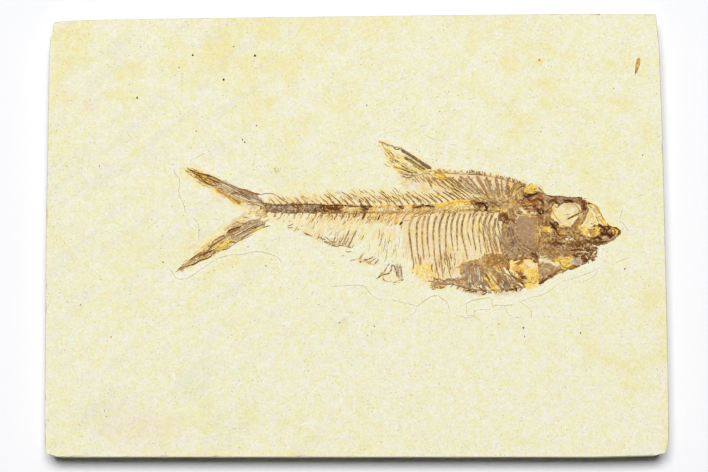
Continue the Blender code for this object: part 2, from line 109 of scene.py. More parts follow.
class BoneSettings(PropertyGroup):
    """Colours of the mineralised bone and the fineness of its relief."""

    ink: tone("Ink", "The thickest, nearly black bone", 78, 42, 18)
    dark: tone("Dark", "Thick dark brown bone", 112, 66, 30)
    umber: tone("Umber", "Plain brown bone", 142, 102, 53)
    brown: tone("Brown", "Thin brown bone", 170, 131, 77)
    mauve: tone("Mauve", "Thin plates with a pinkish cast", 180, 145, 110)
    grey: tone("Grey", "Grey fin rays and girdle bones", 154, 130, 104)
    smoke: tone("Smoke", "Grey brown of the finest rays", 134, 110, 78)
    lilac: tone("Lilac", "Pale grey rays", 190, 168, 140)
    rust: tone("Rust", "Iron-stained reddish bone", 160, 96, 40)
    ochre: tone("Ochre", "Iron-stained yellow-brown bone", 208, 162, 86)
    orange: tone("Orange", "Bright orange stain", 236, 180, 76)
    gold: tone("Gold", "Bright yellow stain", 250, 210, 96)
    amber: tone("Amber", "Apricot stain along the backbone", 238, 198, 122)
    straw: tone("Straw", "Pale yellow stain", 247, 226, 152)
    tan: tone("Tan", "Thin brown film over the stone", 220, 188, 127)
    film: tone("Film", "Thin pinkish film between the ribs", 239, 213, 164)
    cream: tone("Cream", "Bare stone that shows through", 244, 230, 184)
    voxel: length("Grain of bones", "Spacing of the rebuilt bone surface", 0.14)
    film_step: length("Grain of crust", "Spacing of the crust between the bones", 0.2)
    crumble: length("Crumble", "How far the bone surface is broken up", 0.14)
    proud: FloatProperty(name="Relief", description="Share of the bones' height above the stone that is left",
                         default=0.66, min=0.3, max=1.0)
    stroke_step: length("Stroke step", "Spacing of the rings along a fine bone", 0.3)


class StoneSettings(PropertyGroup):
    """Colours and relief of the limestone."""

    cream: tone("Limestone", "Fresh pale limestone", 242, 240, 212)
    yellow: tone("Yellow", "Warm iron-stained clouds", 241, 233, 177)
    grey: tone("Grey", "Cool streaks along the bedding", 233, 231, 211)
    blush: tone("Blush", "Pinkish cast near one corner", 240, 228, 206)
    speck: tone("Speck", "Fine mineral specks", 134, 120, 70)
    # The seam tone is painted shade: it darkens the lips along the flake edges as if their small steps lay in
    # shade.
    seam: tone("Seam", "Dust in the edges of lost flakes", 216, 208, 172)
    pink: tone("Pink", "Pinkish film between the ribs", 236, 212, 178)
    pale: tone("Pale", "Freshly cleaned stone around the fish", 245, 243, 225)
    olive: tone("Olive", "Greenish yellow spots", 214, 196, 110)
    grid_step: length("Grid step", "Spacing of the plain stone surface", 1.2)
    bed_depth: length("Bed depth", "How far the cleaned surface lies below the rest", 0.06)
    rim_wear: length("Rim wear", "Depth of the chips along the sawn rims", 0.55)
    laminae: IntProperty(name="Laminae", description="Layers that show on the sides", default=10, min=3,
                         max=20)


class StageSettings(PropertyGroup):
    """Camera, light and floor."""

    distance: length("Camera distance", "From the camera to the slab's top face", 637.2)
    tilt: FloatProperty(name="Tilt", description="Camera's lean from straight down",
                        default=math.radians(7.3), subtype="ANGLE", unit="ROTATION")
    lens: FloatProperty(name="Lens", description="Focal length in millimetres", default=120.0, min=20.0)
    softbox_width: length("Softbox width", "Size of the overhead light from side to side", 1300.0)
    softbox_depth: length("Softbox depth", "Size of the overhead light from front to back", 820.0)
    light_height: length("Light height", "Height of the light above the floor", 2400.0)
    light_power: FloatProperty(name="Light power", description="Power of the overhead light in watts",
                               default=68.0)
    ambient: FloatProperty(name="Ambient", description="Strength of the light from all around", default=0.055)
    floor: tone("Floor", "The white table", 249, 250, 254)


# --- Places and routes, in millimetres on the slab's face ---

def pairs(*numbers):
    """Places from plain numbers: x, y, x, y and so on."""
    return list(zip(numbers[::2], numbers[1::2]))


def routes(lead, *rows):
    """Rows whose first few values stay as they are, and whose other numbers become one route of places."""
    return [(*row[:lead], pairs(*row[lead:])) for row in rows]


def toned(lead, *rows):
    """Such rows that start with a tone. A row that leaves its tone out has that of the row before it."""
    full = []
    for row in rows:
        full.append(row if isinstance(row[0], str) else (full[-1][0], *row))
    return routes(lead, *full)


TOP_EDGE = pairs(-83.7, 57.2, -82.9, 58, -80.8, 58.4, -69.9, 58.8, -42.6, 59.2, -0.5, 59.75, 39.4, 60.2, 66.7,
    60.4, 82, 60.3, 83.7, 60.2)
BOTTOM_EDGE = pairs(-83.7, -58.6, -82.9, -59.7, -81.4, -60.3, -68.3, -60.35, 65.1, -60.35, 75.8, -60.1, 82,
    -59.9, 83.7, -58.4)
LEFT_EDGE = pairs(-60.4, -82.3, -58.8, -83.1, -45.1, -83.3, -2, -83.7, 51.1, -83.65, 57, -83.4, 58.5, -82.7)
RIGHT_EDGE = pairs(-60.4, 82.4, -58.2, 83.5, -53.1, 83.65, -34.4, 83.7, 8.9, 83.4, 30.9, 83.2, 51.1, 82.8,
    60.3, 82)

# Edges of thin flakes that have come away from the stone around the fish: width and route
FLAKE_EDGES = routes(1,
    (0.16, -49.3, 17.5, -49, 16.2, -47.9, 15, -47.8, 12.5, -48, 11, -47.5, 9.5, -46.6, 7.6, -46, 5.4),
    (0.14, -43.9, 4.3, -42.8, 2.6, -42.4, 0.5, -42.5, -2.4),
    (0.12, -45, 19.2, -44.5, 20.1, -42.5, 21, -41, 21.8),
    (0.13, -50.2, -9.6, -49.2, -11.2, -48.6, -12.2, -46.8, -12.6, -44.8, -12, -43, -10.8, -39.2, -8.2, -36.5,
     -6.7, -34, -6),
    (0.17, -34.4, -6, -31.5, -5.9, -30, -5.8, -28, -5.2, -26, -5.1, -23.8, -5.6, -22, -6.2, -20.8, -7, -20,
     -8.3), (0.13, -6.6, -14.6, -4, -14.4, -1, -14.2, 2.2, -14.5, 3.6, -16.2, 5.6, -17.8, 7.2, -18.1),
    (0.13, 9.6, -18.1, 12, -18.7, 14.4, -19.3, 16.4, -20),
    (0.17, 16.4, -20, 18.2, -18.6, 20, -17.4, 21.8, -17, 23.4, -18, 24.8, -19.4, 25.2, -21.4),
    (0.1, 16.4, -20, 15.6, -21.8, 14.4, -22.6, 13.2, -23.8),
    (0.16, 29.4, -19.4, 31.2, -18.4, 34, -17.9, 36, -17.6, 36.6, -18.4, 36.9, -20.2, 37.6, -19.6, 39.8,
     -19.8, 42.2, -19.4),
    (0.14, 29.6, -19.4, 29.8, -21, 30, -22.3, 31.8, -22.4, 31.9, -21.2, 33.4, -20.9, 36.4, -20.8),
    (0.12, 31.8, -22.5, 30.9, -23, 29, -22.9, 26.8, -22.2), (0.11, 31.9, -22.6, 32.8, -23.4, 34, -24),
    (0.1, 37.4, -21, 40, -20.2, 41, -22, 42.4, -22.8, 44, -22.9),
    (0.1, 43.4, -18.4, 46, -20, 47.2, -21.4, 47, -23.2),
    (0.12, 44, -18.9, 47, -17.6, 50, -16.9, 52.6, -15.4, 54.4, -13.8, 57, -12.8, 60, -11.9, 63.5, -10.6,
     65.8, -9.4), (0.12, 65.3, -10.2, 63.8, -12, 61, -13.4), (0.11, 74, -6.7, 72, -7.3, 70, -8.2),
    (0.14, 72.2, 6.4, 71.4, 4.4, 71.1, 3.4, 72.2, 2.6, 73.6, 0.4),
    (0.1, 5.8, 25.9, 6.8, 26.8, 8.2, 27.3, 10.4, 27.7, 12, 28.1), (0.1, 18.6, 26.8, 20.4, 26, 22.2, 25.2),
    (0.1, 24.8, 24.4, 27.4, 24), (0.1, 11.4, 12.9, 12.4, 13.6, 13.6, 14.4),
)

# Mineral grains that stand alone on the face: tone, radius and place
GRAINS = toned(2,
    ("ink", 0.34, -59.5, 37), (0.34, -36, 42), (0.34, -27.5, 48.7), (0.34, -44.5, 48.8),
    ("smoke", 0.19, -33.3, 51.2), (0.25, -27, 29.3), (0.19, -43.3, 27.8), (0.23, -69.5, 18.2),
    ("ochre", 0.33, -65.7, -28.2), ("smoke", 0.19, -74, -19.5), (0.2, -67.2, -48), (0.2, -66.8, -49.5),
    (0.23, 3, 35), (0.22, 70.2, 39.7), (0.23, 77.8, 21.2), (0.27, 72.5, -9.8), (0.27, 60.4, -27.1),
    (0.31, 45, -25.8), (0.23, 45.3, -28.1), ("ochre", 0.28, 38.4, -24.7), ("smoke", 0.2, 5, -25.4),
    (0.23, -4.4, -24.4), (0.19, -10, -19.5), (0.23, 15.3, -10.7), ("ink", 0.27, 25.7, -6.8), (0.25, 20.2, 5),
    ("straw", 0.27, -34, 16), ("ochre", 0.2, -33.9, 16), ("grey", 0.2, -29.2, -3.8),
    ("smoke", 0.22, -24.3, -9), ("gold", 0.31, 56.3, -53), ("ochre", 0.36, 50, 47.5),
    ("smoke", 0.23, -52, -8), ("straw", 0.34, -21.9, 18.1), (0.38, -22, 17.6), (0.3, -21.8, 17),
    ("smoke", 0.3, -30.8, 25.4), (0.26, -30.2, 24.8), ("grey", 0.22, -48.2, 45.4),
)

# Fine bones: tone, width and route
TAIL_UPPER_STROKES = toned(2,
    ("umber", 0.3, -31.8, 12.1, -29.5, 11.6, -27.4, 10.8, -25.6, 10.4),
    ("rust", 0.26, -30.4, 11.6, -28.4, 11, -26.2, 10.4),
    ("brown", 0.22, -25.6, 10.4, -24.2, 10.75, -22.6, 10.65, -21.9, 10.45),
    ("grey", 0.18, -22, 10.5, -20.8, 9.8, -19.4, 8.6),
    ("dark", 0.3, -45.1, 17.1, -43.2, 16.5, -41.2, 15.9, -39, 15.2, -36.4, 14.2),
    (0.26, -44.4, 16.6, -42.8, 15.7, -41.4, 14.6), ("umber", 0.24, -43, 16.3, -41.6, 15.2, -40.2, 14.6),
    ("dark", 0.26, -41.4, 14.2, -39.6, 13.2, -37.6, 12.7), (0.24, -40, 14.8, -38, 13.9, -36.4, 13.3),
    ("grey", 0.26, -36.6, 13.9, -34, 13, -31.6, 11.8, -29, 10.2, -26.4, 8.9, -24.4, 7.9),
    ("dark", 0.16, -35.4, 13.3, -33, 12.1, -30.4, 10.6, -28, 9.2),
    ("umber", 0.16, -34.8, 12.7, -32.2, 11.2, -29.6, 9.8),
    ("cream", 0.3, -37.2, 13.6, -34.6, 12.6, -31.4, 10.8), (0.26, -33, 10.4, -30.4, 9.3, -27.6, 8.4),
    ("umber", 0.2, -29.4, 9.4, -28.2, 8.5, -26.8, 8), ("dark", 0.2, -26.6, 9.2, -25, 8.2, -23.6, 7.5),
    ("ochre", 0.26, -38, 11.6, -36.2, 10.7, -34.2, 9.9, -32.8, 8.8, -31.6, 8.1),
    ("rust", 0.22, -33.4, 9.4, -32.2, 8.5, -31.3, 8), ("brown", 0.2, -29.4, 7.7, -28.2, 7.65, -26.9, 7.7),
    (0.18, -28.9, 6.4, -27.6, 7), (0.18, -27.8, 6.1, -27.1, 6.9),
    ("straw", 0.4, -46.6, 17.6, -45.2, 16.8, -43.6, 15.2), (0.26, -44.8, 15.6, -42.8, 13.8, -40.6, 12.8),
)
TAIL_LOWER_STROKES = toned(2,
    ("brown", 0.22, -48.4, -10.5, -47, -9.6, -45.8, -8.9),
    ("ochre", 0.22, -48.2, -10, -46.8, -9, -45.6, -8.2),
    ("dark", 0.28, -45.8, -9.2, -43.6, -8.4, -42, -7.5, -40, -6.9, -38.8, -6.1),
    ("umber", 0.26, -45.2, -7.8, -43.4, -6.4, -41.4, -5.1),
    ("rust", 0.24, -43, -6.6, -41.4, -5.9, -40, -4.9), ("dark", 0.4, -41.4, -6.1, -39.8, -5.3, -38.2, -4.6),
    ("umber", 0.36, -39.5, -4.2, -38.3, -3.2, -36.8, -2.4), (0.3, -38.9, -2.6, -37.2, -1.5, -35.4, -0.6),
    ("dark", 0.34, -34.8, 0, -34, 0.7, -32.6, 1.2, -31, 1.7),
    ("rust", 0.26, -34.2, -0.2, -33, 0.4, -31.8, 0.6), ("umber", 0.4, -34.2, -2.6, -33.2, -2.5, -32.2, -2.7),
    ("dark", 0.16, -33.2, -1.4, -30.4, 0.2, -27.6, 1.9),
    ("umber", 0.16, -32.6, -0.4, -29.8, 1.1, -27.2, 2.6), ("cream", 0.28, -32.8, -0.9, -30, 0.8, -27, 2.4),
    ("grey", 0.24, -31.2, -1.9, -29, -0.4, -26.8, 1.1), ("gold", 0.4, -38, -4.8, -35.6, -3.4, -33.8, -2),
    ("grey", 0.24, -30.4, 2, -28.6, 3.2, -26.4, 3.5), ("umber", 0.26, -36.2, -4.7, -34.8, -4.4, -33.4, -3.4),
    ("ochre", 0.24, -32.2, -2.5, -30.2, -1.6, -27.9, -0.4), ("gold", 0.4, -28.6, 0.1, -27, 0.8, -25.6, 1.4),
    ("dark", 0.26, -28.2, 0.9, -26.4, 1.7, -24.6, 2.4), (0.26, -25.1, 1.4, -24.2, 1.7, -23.2, 1.95),
    ("ochre", 0.24, -25.6, 2.6, -24.4, 3.1, -23.4, 3.8),
    ("brown", 0.24, -33.4, 2.3, -32, 2.9, -30.8, 2.5, -29.8, 2.55),
    ("straw", 0.44, -33, 3, -31.4, 3.4, -30, 3.6), ("brown", 0.22, -30.6, 4.4, -29.4, 4.2, -28.8, 3.8),
    ("ochre", 0.22, -40.2, -3.2, -39.2, -2.5), ("straw", 0.34, -43.8, -5.6, -41.2, -3.6, -38.8, -1.8),
)
BACKBONE_STROKES = toned(2,
    ("ink", 0.24, -10.2, 7.6, -8, 7.4, -6, 7.5, -3.6, 7.4, -1, 7.2, 1, 7.2, 3, 7.2, 4.9, 7.2),
    ("dark", 0.2, -23.6, 7.6, -21.6, 7.4, -19, 7.5, -16.8, 7.6),
    (0.28, -16.6, 7.7, -15.2, 7.6, -13.8, 7.9, -12.4, 7.7, -10.4, 7.7),
    ("umber", 0.22, -22.6, 6.2, -20.8, 6, -18.6, 5.4, -16.8, 5.4, -15.2, 5.5),
    ("dark", 0.7, -8, 6.9, -6.2, 6.6, -4.4, 6.4), (0.5, 1.6, 7, 2.8, 6.6, 3.4, 6.2),
    (0.5, 2.7, 5.4, 2.2, 4.6, 1.8, 3.8), ("ink", 0.34, 6.6, 5, 6.3, 4.3, 5.8, 3.4),
    ("brown", 0.24, 6.8, 5, 7.2, 4.9), ("ink", 0.4, 11.5, 7.4, 12.2, 6.9),
    (0.36, 15.8, 7, 16.6, 6.8, 17.4, 7.2, 18, 7), (0.66, 18.8, 7.3, 19.4, 7.4, 20, 7.2),
    (0.26, 20, 7.1, 20.8, 7.1, 21.5, 7), (0.46, 32.1, 7.8, 33.2, 8, 34.2, 7.9, 35, 8.2),
    (0.6, 34.6, 7.9, 35.2, 7, 35.2, 6), ("dark", 0.34, 33.2, 7.4, 33.4, 6.6, 33.8, 6),
    ("umber", 0.4, 36, 8.4, 37.4, 8, 38.2, 7.4), ("dark", 0.3, 38, 7.6, 38.6, 7.2, 39, 6.4),
    ("ochre", 0.4, 38.4, 6.9, 39.4, 6.8, 40.4, 6.3),
    ("gold", 0.6, 21.4, 7, 22.8, 7.4, 24.4, 7.8, 26, 8.4, 28.4, 8.7, 30.2, 8.6),
    (0.4, 22.6, 7.7, 25, 8.3, 27.6, 8.8), ("dark", 0.62, 12.5, 3.1, 12.1, 2.5, 11.9, 2.1),
    ("umber", 0.26, 12.2, 2.1, 12.3, 1.2), ("grey", 0.22, 13.7, 5.2, 13.2, 4.4, 12.5, 3.3),
    ("umber", 0.34, 0.4, 5.8, 0, 4.9, -0.5, 4), (0.28, -21.6, 4.9, -22, 4.2), (0.22, -20.6, 4.1, -21.5, 3.5),
)
# Stray neural spines and splinters above the backbone
SPINE_STROKES = toned(2,
    ("umber", 0.3, -6.1, 7.9, -7, 9.2), ("brown", 0.22, -7, 9.2, -8.6, 10.6),
    ("umber", 0.28, -4, 7.6, -5, 9), ("brown", 0.2, -5, 9, -7.3, 10.9),
    ("umber", 0.24, -1.9, 7.6, -3.1, 9.2), ("brown", 0.2, -0.8, 8.9, -2.5, 10.4, -4.1, 11.3),
    ("umber", 0.26, 1.9, 7.5, 0.8, 9.2), ("dark", 0.28, 3.9, 7.5, 2.6, 9.4),
    ("brown", 0.2, 3.2, 10.7, 2.1, 11.7), ("dark", 0.26, 5.4, 8.1, 4.8, 9),
    ("umber", 0.26, 9.3, 8.1, 8.7, 9.2, 7.6, 10.2), ("brown", 0.2, 12.2, 8.6, 11.2, 10, 9.8, 11.9),
    (0.2, 11.6, 10.9, 10.2, 12.6), (0.2, 11.4, 8.2, 9.6, 10.2), (0.22, 14, 8.4, 13, 9.6, 12.5, 10.5),
    ("umber", 0.24, 15.9, 7.8, 15, 9.3, 13.4, 10.9), ("brown", 0.22, 17.2, 8.3, 16.3, 9.4, 15.2, 10.2),
    (0.22, 19, 7.9, 17.8, 9.3), (0.22, 20.4, 8, 19, 9.3), ("umber", 0.26, 22.1, 8.2, 20.9, 9.4, 19.7, 10.8),
    (0.24, 23.4, 8.5, 21.8, 10), (0.24, 25.1, 8.8, 23.2, 10.1), (0.26, 26.7, 9, 24.9, 10.3, 23.3, 11.2),
    (0.26, 28.2, 9, 26, 10.4, 24, 11.5), (0.28, 29.8, 8.9, 27.8, 10.2, 26, 11.4),
    (0.28, 31.1, 8.8, 28.8, 10.6, 26.6, 12.1), (0.26, 32.5, 8.4, 30.8, 9.8), (0.3, 33.6, 8.7, 31.6, 10.2),
    ("brown", 0.2, -19.4, 8.5, -21.4, 10.1), (0.2, -18.9, 8.8, -20, 10), (0.2, -23.2, 8.5, -23.7, 9.3),
    ("ochre", 0.2, -13.2, 9.2, -14.6, 10.1), (0.2, -8.4, 8.4, -9.8, 10), (0.2, -10.2, 8.2, -11, 9.4),
    ("umber", 0.24, -15.5, 7.9, -16, 8.5), (0.24, -13.6, 8.1, -14, 8.7), ("brown", 0.2, 7.2, 8, 6.6, 8.9),
    (0.2, 7.6, 8.8, 9.4, 8.6, 10.4, 8.7), (0.18, 5.8, 9.4, 7.6, 9.1), ("ochre", 0.2, 6.6, 7.6, 7.8, 6.6),
)
ANAL_REAR_STROKES = toned(2,
    ("smoke", 0.24, -18.5, 1.8, -17.6, 2.1, -16.9, 2.5), (0.22, -18.4, 1.35, -17, 1.45),
    (0.2, -16.8, 0.3, -16.2, 1, -15.8, 1.7), (0.22, -15.8, 0.7, -15.3, 1.2), (0.18, -14.2, 2.1, -14.9, 1.6),
    (0.18, -11, 2.9, -11.4, 2.2), ("rust", 0.4, -13.9, 0, -13.4, -0.4, -12.4, -0.7),
    ("ochre", 0.3, -13, -0.6, -12, -0.8), ("smoke", 0.24, -10.6, -1.5, -9.6, -1.3, -9, -1.7, -8.2, -1.9),
    (0.2, -8.4, -0.9, -7.6, -1.7, -6.8, -2.3, -5.2, -2.6),
    (0.22, -7, -3.2, -5.4, -3.7, -4.4, -3.5, -3.2, -3.2), (0.18, -6.5, 0.3, -7.2, -0.8),
    (0.17, -5.5, -1, -6.2, -2.4), (0.19, -4.7, -1.3, -5.3, -2.5), (0.19, -3.4, -1.2, -4.4, -3),
    (0.2, -1.8, 0.8, -2.8, -1.4, -3.6, -3), (0.2, -1.8, -1.3, -3, -3.4),
    (0.22, 0, 0.6, -1, -1.6, -1.9, -3.7), (0.19, -0.6, -3.2, -1, -4.1), (0.24, -2.7, -5, -2, -5.2, -1.2, -5),
    (0.2, -1.6, -7.7, -0.9, -7.4, -0.2, -7.5), (0.2, 2.2, -0.5, 1.5, -2), (0.2, -3.8, -6.2, -3.2, -6.2),
)
ANAL_FRONT_STROKES = toned(2,
    ("smoke", 0.2, 2.1, -5.5, 1.4, -6.4, 0.8, -7.2), (0.2, 1, -8.1, 2.2, -7.3, 3.6, -7.1, 4.7, -6.5),
    (0.19, 3.1, -7.8, 3.8, -7.9, 4.8, -7.3, 5.5, -6.9), (0.2, 6.2, -7.1, 5.6, -7.9, 4.8, -8.7),
    (0.2, 3.2, -8, 3.6, -8.6), (0.2, 6.5, 0, 6.2, -1), (0.2, 7.4, 0.1, 7.1, -0.9),
    (0.2, 6.5, -2.8, 6.2, -3.5), (0.2, 9, -1.9, 8.7, -3),
)
PELVIC_STROKES = toned(2,
    ("smoke", 0.26, 9, -8.2, 8.7, -9), (0.22, 8.4, -9.4, 8.1, -9.8), (0.24, 7.9, -10, 7.6, -10.4),
    (0.24, 9.6, -8.7, 9.7, -9.8, 9.3, -10.7), (0.26, 9.2, -10.8, 8.2, -11.2, 7.2, -11.2, 6.6, -10.7),
    (0.4, 6.7, -11.4, 6, -12.2), (0.2, 6, -12, 5.4, -12.6), (0.28, 9.7, -8.7, 10.5, -9),
    (0.22, 10.4, -9, 10.8, -10.4, 11, -12), ("lilac", 0.5, 11.2, -8.9, 11.4, -10.4, 11.5, -12),
    (0.56, 12, -8.9, 12.1, -9.8, 12.2, -10.8), ("grey", 0.2, 11.2, -9.2, 11.3, -10.6, 11.8, -12.2),
    (0.24, 12.3, -10.4, 12.4, -12.4), ("smoke", 0.36, 12, -12.6, 12.4, -12.9, 12.9, -12.6),
    (0.22, 7.3, -12.2, 7.6, -12.9, 8.6, -13.2), (0.18, 9.2, -13, 9.6, -13.2), (0.16, 10.2, -13.5, 11, -13.4),
    (0.18, 9.9, -13.9, 10.8, -14), (0.16, 11.4, -13.6, 11.9, -13.4),
)
DORSAL_STROKES = toned(2,
    ("smoke", 0.72, 20.4, 17.4, 18.4, 18.6, 16.2, 20.1, 14, 21.5, 12.2, 22.7),
    (0.24, 20.5, 17.8, 18.4, 19.1, 16.2, 20.6, 14, 22, 12.2, 23.2),
    ("film", 0.5, 19.4, 17.5, 17, 19, 14.6, 20.6, 13, 21.6),
    ("smoke", 0.28, 12.2, 23.1, 11.6, 22.9, 10.9, 22.8, 10.4, 23.2, 10.1, 23.7, 9.5, 23.9),
    ("brown", 0.24, 8.9, 23.6, 8.2, 24.2, 7.4, 24.7, 6.2, 25),
    ("smoke", 0.5, 18.9, 17.1, 17, 18.4, 15, 19.7, 13.1, 20.7),
    (0.22, 18.6, 17, 16.6, 18.3, 14.8, 19.4, 13.1, 20.3),
    ("brown", 0.26, 18.1, 16.8, 16.6, 17.8, 15.4, 18.6), ("gold", 0.4, 18.4, 16.9, 16.8, 18, 15, 19.2),
    ("smoke", 0.26, 12.2, 18.5, 13.6, 17.6, 15.4, 16.9, 17, 16), (0.24, 12.8, 17.3, 14.6, 16.7, 16.4, 16.2),
    (0.24, 12.2, 16.3, 14, 15.8, 15.8, 15.7), (0.24, 12.4, 15.6, 13.6, 15.2, 15.2, 15.2),
    ("ochre", 0.24, 10.2, 17.8, 11.8, 17.6, 13.4, 17), ("gold", 0.3, 8.2, 22.6, 9, 21.8),
    (0.36, 8.8, 20.2, 9.6, 19.4), ("ochre", 0.22, 8.6, 22, 9.6, 20.8),
    ("smoke", 0.22, 9, 22.6, 9.8, 21.6, 10.6, 20.6), ("ochre", 0.24, 9.2, 21.2, 10.4, 20.2),
    ("smoke", 0.24, 10, 21.2, 10.5, 20.8), (0.3, 10.6, 19.8, 11.4, 19.5, 11.9, 19.2),
    ("gold", 0.44, 10, 18.6, 11.2, 18, 12.6, 17.6), ("ochre", 0.22, 9.2, 20, 10, 19),
    ("cream", 0.5, 12.6, 19.6, 14.6, 18.6, 16.4, 17.5), (0.36, 10.6, 22.2, 11.6, 21.4, 12.6, 20.8),
    ("brown", 0.2, 15, 15, 16.2, 13.9), (0.2, 16, 15.3, 17.3, 13.8), (0.22, 17.2, 15.5, 18.6, 13.9),
    (0.24, 18.2, 15.7, 19.6, 14, 20.4, 12.6), ("ochre", 0.24, 19, 16, 20.4, 14.4),
    ("brown", 0.24, 19.6, 16.4, 21.2, 14.9), (0.2, 13.8, 14.7, 13.4, 14.1), (0.2, 15.4, 14.2, 15, 13.6),
)
NAPE_STROKES = toned(2,
    ("gold", 0.7, 20.8, 16.4, 22.2, 15.7, 23.8, 15.2), ("ochre", 0.4, 21, 17, 22.6, 16.4, 24.2, 15.6),
    ("brown", 0.26, 21.6, 16.4, 23.4, 15, 26.2, 13.2, 28.8, 11.4, 31, 9.8),
    (0.26, 23.6, 15.6, 26, 14.1, 28.6, 12.4, 31.2, 10.6), ("cream", 0.4, 26.4, 14.9, 29, 13, 31.4, 11),
    (0.44, 29, 14.6, 31.4, 12.3, 33, 10.8), ("brown", 0.24, 22.4, 13.2, 24.6, 11.8),
    (0.22, 28.6, 11.8, 29.6, 11), (0.26, 33.4, 9.8, 35.4, 8.8, 37.2, 8), (0.24, 36.2, 9.2, 38, 8.4, 39.8, 8),
    ("umber", 0.3, 34.8, 10.6, 36, 9.4, 36.8, 9), ("brown", 0.4, 38.4, 9, 40.2, 8.4, 41.8, 8.2),
    (0.6, 41.4, 13, 41.4, 11, 41.2, 9.4), (0.4, 42.6, 12.2, 42.2, 11.2),
    (0.2, 25.4, 15.4, 28.6, 13, 31.6, 10.6), ("mauve", 0.48, 28, 15.6, 31.2, 12.8, 33.6, 10.6),
    (0.48, 30.2, 15.6, 32.6, 12.8, 34.4, 10.6), (0.52, 32.6, 15.6, 34.2, 12.8, 35.4, 10.8),
    (0.54, 35.2, 15.4, 36, 13, 36.8, 10.6), (0.58, 37.8, 15.1, 38.2, 12.8, 38.8, 10.2),
    (0.5, 39.4, 14.7, 39.5, 12.6, 39.6, 10.6), (0.58, 41, 14.3, 40.8, 12.4, 40.6, 10.4),
    ("brown", 0.6, 43, 13.6, 42.6, 12.2, 42.2, 10.6), (0.18, 28.4, 15.6, 31.6, 12.7, 34, 10.4),
    (0.18, 33, 15.6, 34.5, 12.8, 35.7, 10.6), (0.18, 35.6, 15.4, 36.3, 13, 37.1, 10.4),
    (0.18, 38.2, 15, 38.6, 12.8, 39.2, 10), (0.18, 41.4, 14.2, 41.1, 12.4, 40.9, 10.2),
    ("cream", 0.6, 31.7, 14.8, 33.4, 12.2), (0.7, 34.2, 14.8, 35.4, 12), (0.64, 36.8, 14.4, 37.4, 11.4),
    (0.5, 40.1, 13.8, 40.2, 11.6),
)
BELLY_STROKES = toned(2,
    ("dark", 0.4, 31.2, -15.4, 30.2, -15.6, 29.4, -15.9), (0.34, 32.6, -15.6, 31.6, -15.9, 30.6, -16.2),
    ("umber", 0.44, 33, -14.8, 34.2, -15.6, 35.2, -16),
    ("dark", 0.36, 35.4, -16.1, 34.6, -16.6, 33.9, -16.8), (0.34, 35.8, -16.2, 36.6, -16.4),
    ("umber", 0.5, 38.6, -14.4, 39.2, -15, 39.8, -15.4),
    ("dark", 0.44, 40.4, -15.8, 41.6, -15.4, 42.8, -15.5), (0.6, 42.4, -14.4, 43.2, -15.4, 43.4, -16),
    ("umber", 0.5, 43.6, -14, 44.6, -14.9), ("dark", 0.44, 44.4, -13.2, 45.4, -14.4),
    ("brown", 0.36, 21, -12.8, 22.4, -12.6, 23.8, -13.2),
    ("mauve", 0.4, 21.8, -13.4, 24, -13.9, 26.6, -13.6), ("ochre", 0.5, 20.4, -14.4, 22, -14.3, 23.2, -14.6),
    ("brown", 0.26, 19.2, -13, 20.6, -13.2, 21.8, -12.6), (0.3, 20.4, -15.4, 21.6, -15.2),
    ("mauve", 0.4, 24.8, -12.8, 26.8, -13, 28.6, -12.4), ("umber", 0.3, 20.6, -8.3, 20.4, -9.4, 20.6, -10.6),
    ("brown", 0.22, 16.1, -6.5, 16.2, -8.5), (0.3, 17.4, -6.4, 17.6, -8.8),
    ("umber", 0.26, 24.9, -6.4, 25.2, -8, 25.6, -10), ("brown", 0.24, 26.6, -8, 26.6, -8.9),
    ("straw", 0.6, 16.5, -9, 16.4, -11.6), (0.6, 17.6, -9.4, 17.7, -11.8), (0.7, 19.1, -8.2, 19.2, -12.2),
    (0.6, 20.7, -10.8, 20.8, -12.2), ("ochre", 0.4, 26.8, -9.6, 28.4, -9),
    ("umber", 0.44, 41.4, -10.8, 42.6, -12.2, 43.8, -13.6),
    ("grey", 0.44, 40.2, -11.6, 40.8, -13.4, 41.2, -15.2), (0.4, 36.2, -11.6, 37.2, -13, 38.6, -14.6),
    ("umber", 0.4, 42, -11.4, 43.4, -12.4, 45, -13.6), ("grey", 0.44, 33.8, -13.2, 34.4, -14.8, 35, -15.8),
    ("umber", 0.34, 34.9, -11, 35.8, -12.6, 36, -13.4), ("brown", 0.3, 38.2, -7.6, 39, -9.6, 39.9, -12),
    ("grey", 0.6, 30.4, -13.4, 31, -14.8),
)
FLANK_STROKES = toned(2,
    ("umber", 0.24, 38.6, 4, 38.4, 2, 38.9, -0.4), ("brown", 0.24, 39.4, 2.4, 39.6, 0.4, 40.2, -1.2),
    (0.22, 40.4, 1.6, 40.8, 0.2, 41.4, -1.2), (0.22, 38.4, -0.8, 39, -3.4, 39.8, -5.6),
    ("ochre", 0.22, 36, -0.6, 37, -3.4, 38, -6), ("brown", 0.2, 37, -2.8, 37.8, -5),
    ("ochre", 0.22, 35.4, -1.6, 35.8, -4.2, 36.4, -6.2), ("umber", 0.22, 34.6, -5.4, 34.8, -6.6),
    ("straw", 0.44, 32.5, 4.4, 32.6, 1.6, 32.8, -0.8), (0.4, 30.2, -1.4, 30.3, -2.8),
    ("cream", 0.4, 24, -10.2, 24.5, -12.2), ("ochre", 0.24, 17.6, 5.2, 18.4, 4.8),
    (0.26, 14.8, 4.2, 16.6, 4.6), (0.24, 12.8, 3.2, 14.6, 3.5),
    ("brown", 0.26, 23, 4.4, 23.6, 5.4, 24.6, 6.1), (0.26, 25.9, 4.2, 26.4, 5.2, 27.4, 5.9),
    ("umber", 0.28, 31.5, 4.2, 32.1, 5.4, 33.2, 6.1), ("brown", 0.26, 34.9, 4.6, 35.5, 5.4, 36.4, 5.6),
    (0.26, 37, 4.4, 37.4, 5.6, 38.2, 6.2), (0.22, 15, 4.4, 16.2, 5.2, 17.8, 5.8),
    ("ochre", 0.22, 16.6, 4.6, 18.2, 5.4, 19.4, 5.8),
)
